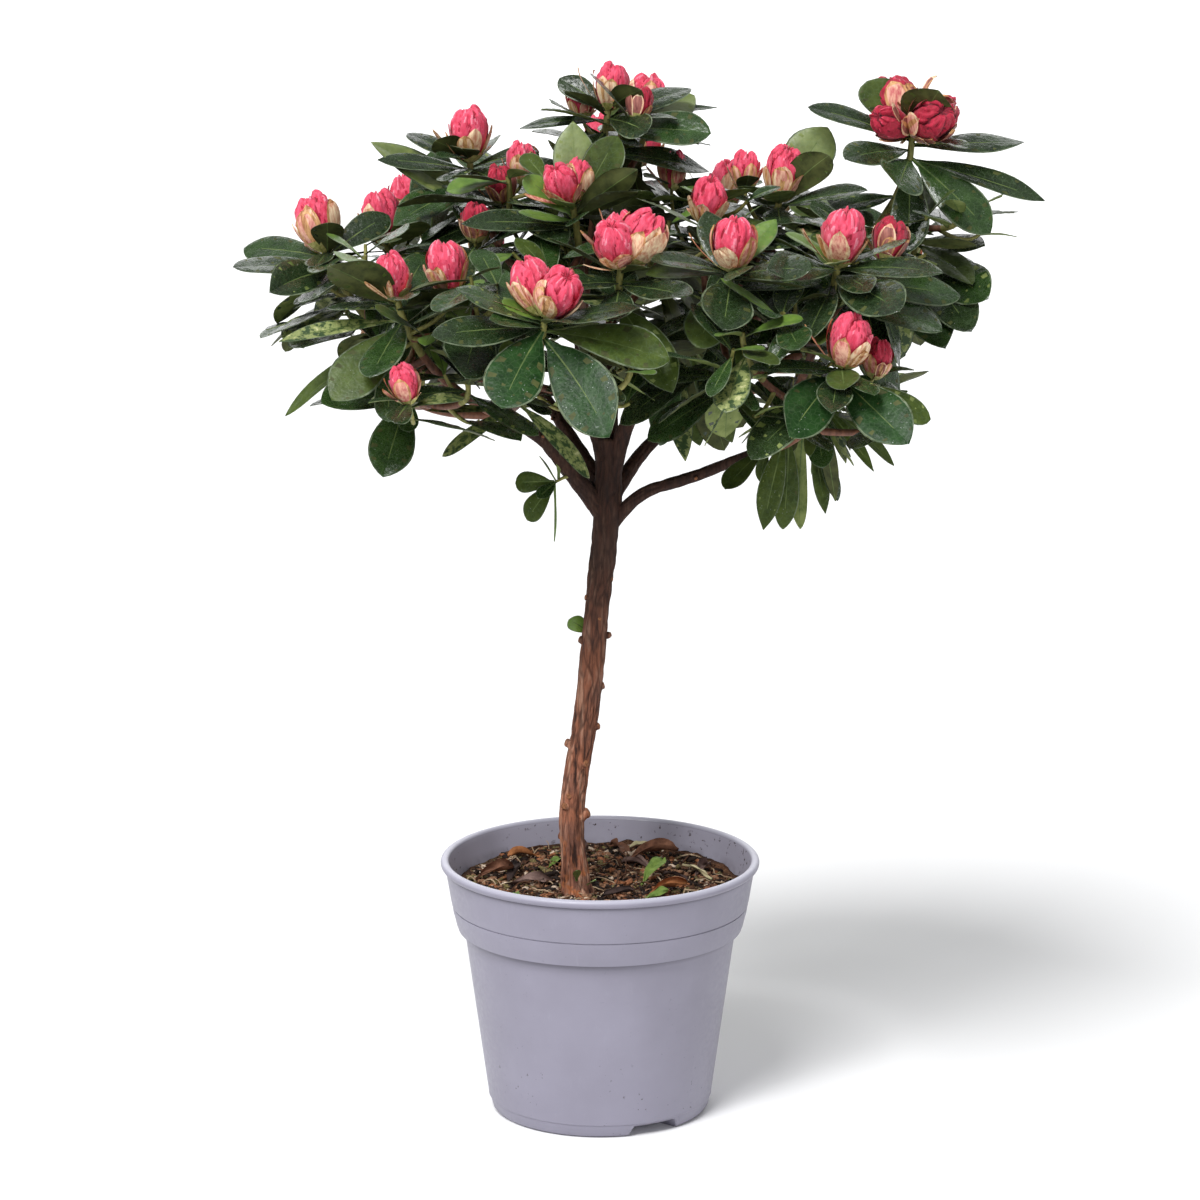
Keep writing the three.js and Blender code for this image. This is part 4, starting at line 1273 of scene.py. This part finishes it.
def shoot_axis(place, key):
    sway = Vector([SHOOT_WANDER * wander(*key, k) for k in (1, 2, 3)])
    return (outwards(place) * SHOOT_LEAN + UP + sway).normalized()


def tipped(axis, tilt, bearing):
    """A direction tipped away from an axis, on a bearing round it, both in degrees."""
    side = Vector((1, 0, 0)).cross(axis).normalized()
    side.rotate(Quaternion(axis, math.radians(bearing)))
    turned = axis.copy()
    turned.rotate(Quaternion(side, math.radians(tilt)))
    return turned


def grow_mass(name, seed):
    """The leading stem of a mass and the side shoots that leave it."""
    habit = MASSES[name]
    end = Vector(habit["tip"])
    start = Vector(BOUGHS[habit["bough"]]["line"][-1])
    stem = Shoot((seed, 0), STEM, name, start, end, shoot_axis(end, (seed, 0)), habit["buds"])
    normal = outwards(end)
    across = UP.cross(normal).normalized()
    along = normal.cross(across)
    sides = []
    for i in range(1, habit["sides"] + 1):
        key = (seed, i)
        bearing = math.radians(habit["turn"] + (i - 1) * 360 / habit["sides"])
        reach = habit["spread"] * (1 + SPREAD_WANDER * wander(*key, 4))
        aside = across * math.cos(bearing) + along * math.sin(bearing) - normal * SIDE_SINK
        side_end = end + aside * reach
        start = stem.path.by_step(mix(SIDE_FROM, chance(*key, 5)))
        buds = 1 if i in habit["budded"] else 0
        sides.append(Shoot(key, SIDE, name, start, side_end, shoot_axis(side_end, key), buds))
    return stem, sides


def grow_spurs(shoot):
    """Short leafy twigs along a shoot, one order finer than the source."""
    spurs = []
    for i in range(SPURS_PER_SHOOT):
        key = (*shoot.key, 31 + i)
        share = mix(SPUR_FROM, chance(*key, 1))
        start = shoot.path.at(share)
        reach = mix(SPUR_REACH, chance(*key, 2))
        tilt = mix(SPUR_TILT, chance(*key, 3))
        heading = tipped(shoot.path.heading(share), tilt, 360 * chance(*key, 4) + 180 * i)
        end = start + heading * reach
        axis = (heading + shoot_axis(end, key)).normalized()
        spur = Shoot(key, SPUR, shoot.mass, start, end, axis)
        spur.habit["size"] = 1
        spurs.append(spur)
    return spurs


def seen_spurs(stems):
    """The budding spurs that the photo shows, on their stems."""
    spurs = []
    for order, (name, share, end, bud) in enumerate(SEEN_SPURS):
        key = (SPUR_KEY + order, 0)
        end = Vector(end)
        spur = Shoot(key, SPUR, name, stems[name].path.at(share), end, shoot_axis(end, key), 1)
        spur.habit["size"] = 1
        spur.habit["bud"] = bud
        spurs.append(spur)
    return spurs


class Crowd:
    """What already stands in the crown, so that new growth can keep clear of it."""

    def __init__(self, most=9000):
        self.middles = np.zeros((most, 3))
        self.reaches = np.zeros(most)
        self.trees = []

    def measure(self, points):
        middle = (points.min(axis=0) + points.max(axis=0)) / 2
        return middle, np.linalg.norm(points - middle, axis=1).max()

    def add(self, points, faces):
        points = points.reshape(-1, 3)
        number = len(self.trees)
        self.middles[number], self.reaches[number] = self.measure(points)
        self.trees.append(BVHTree.FromPolygons(points.tolist(), faces.tolist()))

    def meets(self, points, faces):
        points = points.reshape(-1, 3)
        middle, reach = self.measure(points)
        count = len(self.trees)
        away = np.linalg.norm(self.middles[:count] - middle, axis=1)
        near = np.nonzero(away < self.reaches[:count] + reach)[0]
        if not len(near):
            return False
        tree = BVHTree.FromPolygons(points.tolist(), faces.tolist())
        return any(tree.overlap(self.trees[i]) for i in near)


# Leaves


def leaf_outline(share, taper, blunt):
    """Half the width of a leaf as a share of its greatest, from its stalk to its tip."""
    blade = np.clip((share - LEAF_STALK) / (1 - LEAF_STALK), 0, 1)
    peak = taper / (taper + blunt)
    greatest = peak**taper * (1 - peak) ** blunt
    return blade**taper * (1 - blade) ** blunt / greatest


class Leaf:
    """A leaf's place, direction and form."""

    def __init__(self, key, root, along, length, kind, slimness=None, sag=LEAF_SAG):
        self.root = root
        self.along = along.normalized()
        self.across = UP.cross(self.along)
        if self.across.length < 0.05:
            self.across = Vector((1, 0, 0))
        self.across.normalize()
        self.face = self.along.cross(self.across)
        self.length = length
        self.kind = kind
        self.width = length * (slimness or mix(LEAF_SLIMNESS, chance(*key, 50)))
        self.taper = mix(LEAF_TAPER, chance(*key, 51))
        self.blunt = mix(SHORT_BLUNT if length < SHORT_LEAF else LONG_BLUNT, chance(*key, 52))
        self.sag = sag + SAG_WANDER * wander(*key, 53)
        self.fold = mix(LEAF_FOLD, chance(*key, 54) ** 1.5)
        self.roll = LEAF_ROLL * wander(*key, 55)
        self.twist = LEAF_TWIST * wander(*key, 56)
        self.bend = LEAF_BEND * wander(*key, 57)
        self.wave = LEAF_WAVE * wander(*key, 58)
        self.phase = phase(*key, 59)
        # Young leaves have the pale underside; a share of the others get it too, as painted light through
        # the leaf
        self.is_pale_under = kind in PALE_KINDS or chance(*key, 60) < BACKLIT_UNDER

    def sheets(self):
        """The points of its upper and lower sides, row by row."""
        share = 1 - (1 - np.linspace(0, 1, LEAF_ROWS + 1)[:, None]) ** 1.4
        side = np.array(LEAF_COLUMNS)[None, :]
        spread = np.abs(side)
        outline = self.width / 2 * leaf_outline(share, self.taper, self.blunt)
        half = np.maximum(outline, mix(STALK_HALF, share))
        rib = np.minimum(LEAF_RIB * (1.25 - share), 0.45 * half)
        offset = np.where(spread < 0.1, np.sign(side) * rib, side * half)
        sweep = LEAF_SWEEP * spread * np.sin(np.pi * share) * half / (self.width / 2)
        forward = self.length * (share + sweep)
        ridges = np.where(np.arange(LEAF_ROWS + 1) % 2, 1, -1)[:, None]
        quilt = LEAF_QUILT * ridges * 4 * spread * (1 - spread)
        lift = self.fold * spread * half - 0.1 * half * spread**5 + quilt * np.minimum(1, half / 8)
        lift = lift + self.wave * half * side * np.sin(7 * share + self.phase) + 0.5 * rib * (spread > 0.1)
        angle = self.roll + self.twist * share
        thickness = LEAF_THICKNESS * (1.15 - spread)
        sag = -self.sag * self.length * share**2
        sheets = []
        for depth in (0 * thickness, thickness):
            level = lift - depth
            across = offset * np.cos(angle) - level * np.sin(angle) + self.bend * self.length * share**2
            raised = offset * np.sin(angle) + level * np.cos(angle) + sag
            sheets.append(laid(self.root, forward, self.along, across, self.across, raised, self.face))
        return np.array(sheets)

    def test_points(self):
        """A coarse grid of its upper side, to test for room."""
        return self.sheets()[0][np.ix_(LEAF_TEST_ROWS, LEAF_TEST_COLUMNS)].reshape(-1, 3)


UPPER, UNDER, RIB, EDGE = range(4)


def leaf_faces():
    """The quads of a leaf, with the place in it of each: upper, under, rib or edge."""
    rows = LEAF_ROWS + 1
    columns = len(LEAF_COLUMNS)
    count = rows * columns
    index = np.arange(count).reshape(rows, columns)

    def wall(first, second):
        return np.stack([first, second, second + count, first + count], axis=1)

    left = wall(index[:-1, 0], index[1:, 0])
    right = wall(index[1:, -1], index[:-1, -1])
    tip = wall(index[-1, :-1], index[-1, 1:])[:, ::-1]
    upper = grid_faces(rows, columns)[:, ::-1]
    under = grid_faces(rows, columns) + count
    is_rib = np.tile(np.arange(columns - 1) == LEAF_RIB_COLUMN, LEAF_ROWS)
    is_rib_above = is_rib & (np.repeat(np.arange(LEAF_ROWS), columns - 1) < LEAF_RIB_ROWS)
    # The outer strips of the upper side take the rim's finish: the hairy margin and a painted sheen
    is_rim = np.tile(np.isin(np.arange(columns - 1), (0, columns - 2)), LEAF_ROWS)
    above = np.where(is_rib_above, RIB, np.where(is_rim, EDGE, UPPER))
    below = np.where(is_rib, RIB, UNDER)
    walls = np.full(len(left) + len(right) + len(tip), EDGE)
    return np.vstack([upper, under, left, right, tip]), np.concatenate([above, below, walls])


LEAF_FACES, LEAF_PLACES = leaf_faces()
LEAF_TEST_FACES = grid_faces(len(LEAF_TEST_ROWS), len(LEAF_TEST_COLUMNS))


def hides_sky(points):
    """Whether any of these points stands before or behind an open place, as the camera sees them."""
    eye = np.array(CAMERA_PLACE) / MILLIMETRE
    seen = eye + (points - eye) * (-eye[1] / (points[:, 1:2] - eye[1]))
    return any(np.any(np.hypot(seen[:, 0] - x, seen[:, 2] - z) < radius) for x, z, radius in OPEN_SKY)


def leaf_kind(shoot, number, age):
    """Which of the greens a leaf has."""
    draw = chance(*shoot.key, number, 21)
    if shoot.habit["hang"]:
        return HANGING_KINDS[int(len(HANGING_KINDS) * draw)]
    if age < YOUNG_AGE and draw < YOUNG_DRAW:
        return "young"
    if draw > (LOW_MOTTLED_DRAW if shoot.end.z < LOW_END else MOTTLED_DRAW):
        return "mottled"
    if draw > MID_DRAW:
        return "mid"
    return "deep" if draw < DEEP_DRAW else "dark"


def place_leaf(shoot, number, attempt):
    """The leaf of a whorl, by its number from the youngest; each attempt turns it a little further."""
    kind = shoot.kind
    habit = shoot.habit
    key = (*shoot.key, number)
    age = number / (kind["leaves"] - 1)
    length = habit["size"] * mix(kind["length"], age**0.8) * (1 + LENGTH_WANDER * wander(*key, 10))
    bearing = number * GOLDEN_ANGLE + 360 * chance(*shoot.key, 11) + attempt * NUDGE[0]
    tilt = mix(LEAF_TILT, age**0.7) + TILT_WANDER * wander(*key, 12) + attempt * NUDGE[1]
    share = max(0, 1 - mix(kind["stalk"], age**CROWDING) / shoot.path.length)
    root = shoot.path.at(share)
    axis = shoot.path.heading(share)
    low = min(1, max(0, (CROWN_LOW[0] - root.z) / (CROWN_LOW[0] - CROWN_LOW[1])))
    droop = habit["hang"] + age * (DROOP * chance(*key, 13) + LOW_DROOP * low)
    along = (tipped(axis, tilt, bearing) - UP * droop).normalized()
    slimness = mix(HANGING_SLIMNESS, chance(*key, 22)) if habit["hang"] else None
    return Leaf(key, root, along, length, leaf_kind(shoot, number, age), slimness)


def facing_roll(leaf):
    """The roll that turns a leaf's nearer side to the front, held back where the leaf lies flat."""
    turn = math.degrees(math.atan(-FRONT.dot(leaf.across) / FRONT.dot(leaf.face)))
    steep = (abs(leaf.along.z) - SEEN_STEEP[0]) / (SEEN_STEEP[1] - SEEN_STEEP[0])
    most = mix(SEEN_ROLL, min(1, max(0, steep)))
    return math.radians(min(most, max(-most, turn)))


def seen_leaf(stem, order, distance, tip, slimness, kind):
    """A leaf from a stem to a tip that the photo shows; its sag is made up for."""
    root = stem.path.at(1 - distance / stem.path.length)
    along = Vector(tip) - root
    length = along.length
    aim = along + UP * (SEEN_SAG * length)
    leaf = Leaf((*stem.key, order, 90), root, aim, length, kind, slimness, SEEN_SAG)
    leaf.roll = facing_roll(leaf)
    return leaf


# Buds


def bud_swell(share):
    return np.sin(np.pi * np.clip(share, 0.001, 0.999) ** BUD_WIDEST) ** BUD_FULLNESS


class Bud:
    """A bud's place, direction and size."""

    def __init__(self, key, foot, axis, size):
        self.key = key
        self.foot = foot
        self.axis = axis
        self.size = size
        self.length = BUD_LENGTH * size
        self.radius = BUD_RADIUS * size

    def oval(self):
        """A plain oval in its place, to keep leaves clear of it."""
        shares = np.linspace(*BUD_TEST_SHARES, BUD_TEST_ROWS)
        line = np.array([self.foot + self.axis * (self.length * share) for share in shares])
        return rings_round(line, (self.radius * bud_swell(shares))[:, None], BUD_TEST_SIDES)

    def wrapped(self, radius, angle, height):
        """A grid of points round its axis, from arrays of radius, angle and height."""
        side = Vector((1, 0, 0)).cross(self.axis).normalized()
        beside = self.axis.cross(side)
        across = np.cos(angle)[..., None] * np.array(side) + np.sin(angle)[..., None] * np.array(beside)
        return np.array(self.foot) + radius[..., None] * across + height[..., None] * np.array(self.axis)


def grow_buds(shoot):
    """The buds at a shoot's end: one upright, or several fanned out on short stalks."""
    buds = []
    for i in range(shoot.buds):
        key = (*shoot.key, i)
        tilt = shoot.habit["fan"] * (0.6 + 0.4 * chance(*key, 7)) if shoot.buds > 1 else 0
        axis = tipped(shoot.axis, tilt, shoot.habit["first"] + i * 360 / shoot.buds)
        size = shoot.habit["bud"] * (1 + BUD_WANDER * wander(*key, 9))
        foot = shoot.end + axis * (BUD_STALK if shoot.buds > 1 else -BUD_SUNK)
        buds.append(Bud(key, foot, axis, size))
    return buds


def creases(angle, rise, key):
    """How far a petal stands up at a place: 0 in a crease and 1 on the ridge between two."""
    swirl = 0.9 * np.sin(3 * rise + phase(*key, 60)) + phase(*key, 61)
    broad = np.abs(np.sin(2.5 * angle + swirl)) ** 0.5
    fine = np.abs(np.sin(5.5 * angle - 1.7 * swirl + 3 * rise)) ** 0.5
    crumple = np.abs(np.sin(8 * angle + 2 * np.sin(9 * rise + swirl) + 3 * swirl)) ** 0.6
    return 0.42 * broad + 0.32 * fine + 0.26 * crumple


def petal_finishes(fold, key):
    """A finish for each face between points: a painted shade in the creases and a painted highlight on some
    ridges.
    """
    paleness = chance(*key, 59)
    middle = (fold[:-1, :-1] + fold[1:, 1:]) / 2
    step = np.where(middle < 0.62 - 0.08 * paleness, 0, np.where(middle > 0.985 - 0.1 * paleness, 2, 1))
    # A bud in painted shade takes every finish one step darker
    return (step + (0 if key[0] in SHADED_BUD_KEYS else 1)).ravel()


def add_heart(joined, bud):
    """The crumpled heart of a bud, closed at its top."""
    share = np.linspace(0, 1, HEART_ROWS)[:, None]
    angle = np.linspace(0, 2 * np.pi, HEART_COLUMNS + 1)[None, :]
    rise = BUD_FOOT + 0.9 * (1 - (1 - share) ** 1.6)
    fold = creases(angle, rise, bud.key)
    deep = np.clip((rise - 0.3) / 0.5, 0, 1)
    radius = bud.radius * 0.94 * bud_swell(rise) * (1 - 0.42 * deep * (1 - fold))
    lean = 0.04 * np.sin(angle + phase(*bud.key, 62)) + 0.03 * np.sin(3 * angle + phase(*bud.key, 63))
    height = bud.length * (rise + deep**2 * (0.17 * (fold - 0.78) + lean))
    # Two more rows close the top
    radius = np.vstack([radius, 0.6 * radius[-1:], 0.02 * radius[-1:]])
    height = np.vstack([height, height[-1:] - 0.6, np.full_like(height[-1:], height[-1].mean() - 1.6)])
    fold = np.vstack([fold, 0.8 * fold[-1:], 0.5 * fold[-1:]])
    points = bud.wrapped(radius, angle + 0 * radius, height)
    joined.add(*sheet(points), petal_finishes(fold, bud.key))


def add_petals(joined, bud):
    """A few broad petals over a bud's heart."""
    share = np.linspace(0, 1, PETAL_ROWS)[:, None]
    side = np.linspace(-1, 1, PETAL_COLUMNS)[None, :]
    for i in range(PETALS):
        seed = (*bud.key, i)
        turn = math.radians(i * 360 / PETALS + 40 * wander(*seed, 64) + 360 * chance(*bud.key, 65))
        wide = mix(PETAL_HALF_ANGLE, chance(*seed, 66))
        top = mix(PETAL_TOP, chance(*seed, 67))
        ruffle = np.sin(side * 5 + phase(*seed, 68)) + 0.7 * np.sin(side * 9 + phase(*seed, 69))
        rise = BUD_FOOT + (top - 0.16 * np.abs(side) ** 2.2 + 0.014 * ruffle - BUD_FOOT) * share
        angle = turn + side * wide * (0.8 + 0.2 * share)
        fold = creases(angle, rise, seed)
        hem = 0.05 * np.abs(side) ** 4 + 0.05 * share**8
        radius = bud.radius * (bud_swell(rise) * (0.95 + 0.02 * i - 0.14 * share * (1 - fold)) + hem)
        points = bud.wrapped(radius, angle, bud.length * rise)
        joined.add(*sheet(points), petal_finishes(fold, bud.key))


def bract_finishes(seed, is_small):
    """The finishes of a bract's faces, by their place from foot to tip and from middle to edge."""
    row = np.repeat(np.arange(BRACT_ROWS - 1), BRACT_COLUMNS - 1) / (BRACT_ROWS - 2)
    middle = (BRACT_COLUMNS - 2) / 2
    edge = np.tile(np.abs(np.arange(BRACT_COLUMNS - 1) - middle) / middle, BRACT_ROWS - 1)
    # Bracts of a bud in painted shade mostly take the darker copy of the blush finish
    shaded_bodies = (BLUSH, SHADED_BLUSH, SHADED_BLUSH, SHADED_BLUSH, SHADED_BLUSH)
    usual = (CREAM, CREAM, BLUSH, BLUSH, BLUSH)
    bodies = shaded_bodies if seed[0] in SHADED_BUD_KEYS else usual
    body = bodies[int(len(bodies) * chance(*seed, 76))]
    rim = TAN if chance(*seed, 77) < 0.55 else CREAM
    vein = TAN if chance(*seed, 79) < 0.4 else body
    is_rim = (edge > 0.9) | (row > 0.93)
    is_vein = (edge < 0.2) & (row > 0.3)
    green_to = SMALL_GREEN if is_small else mix(LARGE_GREEN, chance(*seed, 80))
    return np.where(row < green_to, GREEN, np.where(is_rim, rim, np.where(is_vein, vein, body)))


def add_bracts(joined, bud):
    """Papery scales that hug a bud: long pointed ones, small green ones at its foot and a loose strip."""
    share = np.linspace(0, 1, BRACT_ROWS)[:, None]
    side = np.linspace(-1, 1, BRACT_COLUMNS)[None, :]
    large_top = (LARGE_TOP[0], LARGE_TOP[1] + COVERED_TOP * chance(*bud.key, 58))
    lance = (share + 0.1) ** 0.7 * np.maximum(1 - share, 0.004) ** 0.6 / 0.469
    for i in range(LARGE_BRACTS + SMALL_BRACTS + LOOSE_BRACTS):
        seed = (*bud.key, i, 7)
        is_small = LARGE_BRACTS <= i < LARGE_BRACTS + SMALL_BRACTS
        is_loose = i >= LARGE_BRACTS + SMALL_BRACTS
        if is_loose and chance(*seed, 70) > LOOSE_CHANCE:
            continue
        turn = math.radians(i * GOLDEN_ANGLE + 30 * wander(*seed, 71))
        top = mix(SMALL_TOP if is_small else large_top, chance(*seed, 72))
        wide = mix(SMALL_HALF_ANGLE if is_small else LARGE_HALF_ANGLE, chance(*seed, 73))
        flare = mix(LARGE_FLARE, chance(*seed, 75) ** 3) * share**3
        if is_loose:
            wide = LOOSE_HALF_ANGLE
            flare = LOOSE_FLARE * share**1.6
        rise = 0.012 + top * share
        angle = turn + side * wide * lance + 0.15 * wander(*seed, 74) * share
        layer = 1.05 + 0.012 * i + (0.05 if is_small else 0)
        curl = 0.03 * side**2 + 0.04 * np.sin(side * 3 + phase(*seed, 78)) * share
        radius = bud.radius * (bud_swell(rise) * layer + curl) + 0.12 + flare * bud.size
        points = bud.wrapped(radius + 0 * side, angle, bud.length * rise + 0 * side)
        joined.add(*sheet(points), bract_finishes(seed, is_small))


# The crown


def limb_crowd():
    """The trunk and the boughs, which stand before anything grows."""
    crowd = Crowd()
    limbs = [(TRUNK_LINE, TRUNK_TEST_RADIUS)]
    limbs += [(bough["line"], bough["radius"][0]) for bough in BOUGHS.values()]
    for line, radius in limbs:
        points = spline(line).evenly(np.linspace(0, 1, LIMB_TEST_STEPS))
        crowd.add(*tube(rings_round(points, np.full((LIMB_TEST_STEPS, 1), radius), LIMB_TEST_SIDES)))
    return crowd


def grow_shoots(crowd):
    """Stems and the spurs that the photo shows, then side shoots and spurs that find room, and all buds."""
    stems = {}
    sides = []
    for order, name in enumerate(MASSES):
        stems[name], others = grow_mass(name, order + 1)
        sides += others
    shoots = []
    buds = []
    for shoot in [*stems.values(), *seen_spurs(stems), *sides]:
        rings = shoot.rings()
        wanted = grow_buds(shoot)
        ovals = [bud.oval() for bud in wanted]
        if shoot.kind is SIDE and any(crowd.meets(*tube(form)) for form in [rings[SHOOT_FREE:], *ovals]):
            continue
        for form in [rings, *ovals]:
            crowd.add(*tube(form))
        shoots.append(shoot)
        buds += wanted
    for shoot in [shoot for shoot in shoots if shoot.kind is not SPUR]:
        for spur in grow_spurs(shoot):
            rings = spur.rings()
            if not crowd.meets(*tube(rings[SHOOT_FREE:])):
                crowd.add(*tube(rings))
                shoots.append(spur)
    return shoots, buds


def grow_leaves(crowd, shoots):
    """The leaves of each mass: those that the photo shows, then those that find room."""
    leaves = {name: [] for name in MASSES}
    for root, along, length, slimness, kind, roll in STRAYS:
        leaf = Leaf((STRAY_KEY, int(length * 10)), Vector(root), Vector(along), length, kind, slimness)
        leaf.roll = math.radians(roll)
        leaves[STRAY_MASS].append(leaf)
    for stem in [shoot for shoot in shoots if shoot.kind is STEM]:
        for order, seen in enumerate(SEEN_LEAVES.get(stem.mass, ())):
            leaf = seen_leaf(stem, order, *seen)
            crowd.add(leaf.test_points(), LEAF_TEST_FACES)
            leaves[stem.mass].append(leaf)
    for shoot in shoots:
        count = shoot.kind["leaves"]
        if shoot.kind is STEM:
            count -= sum(distance < WHORL_REACH for distance, *_ in SEEN_LEAVES.get(shoot.mass, ()))
        for number in range(max(FEWEST_LEAVES, count)):
            for attempt in range(ATTEMPTS):
                leaf = place_leaf(shoot, number, attempt)
                points = leaf.test_points()
                is_low = points[:, 2].min() < shoot.habit["floor"]
                if is_low or hides_sky(points) or crowd.meets(points, LEAF_TEST_FACES):
                    continue
                crowd.add(points, LEAF_TEST_FACES)
                leaves[shoot.mass].append(leaf)
                shoot.is_kept = True
                break
    return leaves


def make_twigs(shoots):
    wood = Joined()
    for shoot in shoots:
        green_from = 0 if shoot.kind is SPUR else GREEN_FROM * SHOOT_STEPS
        is_green = np.repeat(np.arange(SHOOT_STEPS - 1) >= green_from, SHOOT_SIDES)
        wood.add(*tube(shoot.rings()), is_green.astype(int))
    stray = rings_round(np.array(STRAY_TWIG, float), np.array(STRAY_TWIG_RADII), SHOOT_SIDES)
    wood.add(*tube(stray), 1)
    wood.piece("twigs", all_of(twig, TWIG_LOOKS))


def make_buds(buds):
    hearts = Joined()
    petals = Joined()
    bracts = Joined()
    for bud in buds:
        add_heart(hearts, bud)
        add_petals(petals, bud)
        add_bracts(bracts, bud)
    finishes = all_of(petal, PETAL_LOOKS)
    hearts.piece("bud_hearts", finishes)
    petals.piece("bud_petals", finishes)
    bracts.piece("bud_bracts", all_of(bract, BRACT_LOOKS))


def make_leaves(leaves):
    finishes = []
    for kind in LEAF_KINDS:
        finish = leaf_mottled() if kind == "mottled" else leaf_upper(f"leaf_{kind}", *LEAF_LOOKS[kind])
        finishes.append(finish)
    finishes += [leaf_under(f"leaf_{name}", *look) for name, look in UNDER_LOOKS.items()]
    for group, names in GROUPS.items():
        blades = Joined()
        for leaf in [leaf for name in names for leaf in leaves[name]]:
            by_place = (leaf.kind, "under_young_and_backlit" if leaf.is_pale_under else "under", "rib", "edge")
            choices = np.array([LEAF_FINISHES.index(name) for name in by_place])
            blades.add(leaf.sheets(), LEAF_FACES, choices[LEAF_PLACES])
        blades.piece(f"leaves_{group}", finishes, [f"foliage_{name}" for name in names])


def make_crown():
    crowd = limb_crowd()
    shoots, buds = grow_shoots(crowd)
    leaves = grow_leaves(crowd, shoots)
    make_twigs([shoot for shoot in shoots if shoot.is_kept])
    make_buds(buds)
    make_leaves(leaves)


# The stage


def make_floor():
    mesh = bpy.data.meshes.new("floor")
    signs = ((-1, -1), (1, -1), (1, 1), (-1, 1))
    mesh.from_pydata([(FLOOR_REACH * x, FLOOR_REACH * y, 0) for x, y in signs], [], [(0, 1, 2, 3)])
    finish = Finish("floor_white", roughness=0.9, specular=0.1)
    finish.painted(finish.noise(2, 2), (246, 246, 247), (250, 250, 250))
    mesh.materials.append(finish.finished())
    floor = placed("floor", mesh)


def make_light():
    world = bpy.data.worlds.new("studio")
    world.use_nodes = True
    sky = world.node_tree.nodes["Background"]
    sky.inputs["Color"].default_value = SKY_COLOUR
    sky.inputs["Strength"].default_value = SKY_STRENGTH
    bpy.context.scene.world = world

    data = bpy.data.lights.new("softbox", "SUN")
    data.energy = SUN_STRENGTH
    data.angle = math.radians(SUN_SPREAD)
    softbox = placed("softbox", data)
    softbox.rotation_euler = SUN_HEADING.to_track_quat("-Z", "Y").to_euler()

    for name, (place, size, power) in LAMPS.items():
        data = bpy.data.lights.new(name, "AREA")
        data.shape = "RECTANGLE"
        data.size, data.size_y = size
        data.energy = power
        lamp = placed(name, data)
        lamp.location = place
        lamp.rotation_euler = (LAMP_AIM - Vector(place)).to_track_quat("-Z", "Y").to_euler()


def make_camera():
    data = bpy.data.cameras.new("camera")
    data.lens = CAMERA_LENS
    data.sensor_width = CAMERA_SENSOR
    camera = placed("camera", data)
    camera.location = CAMERA_PLACE
    camera.rotation_euler = (math.radians(90 - CAMERA_PITCH), 0, 0)
    bpy.context.scene.camera = camera
    bpy.context.scene.view_settings.view_transform = "Standard"


make_pot()
make_soil()
make_litter()
make_wood()
make_crown()
make_floor()
make_light()
make_camera()
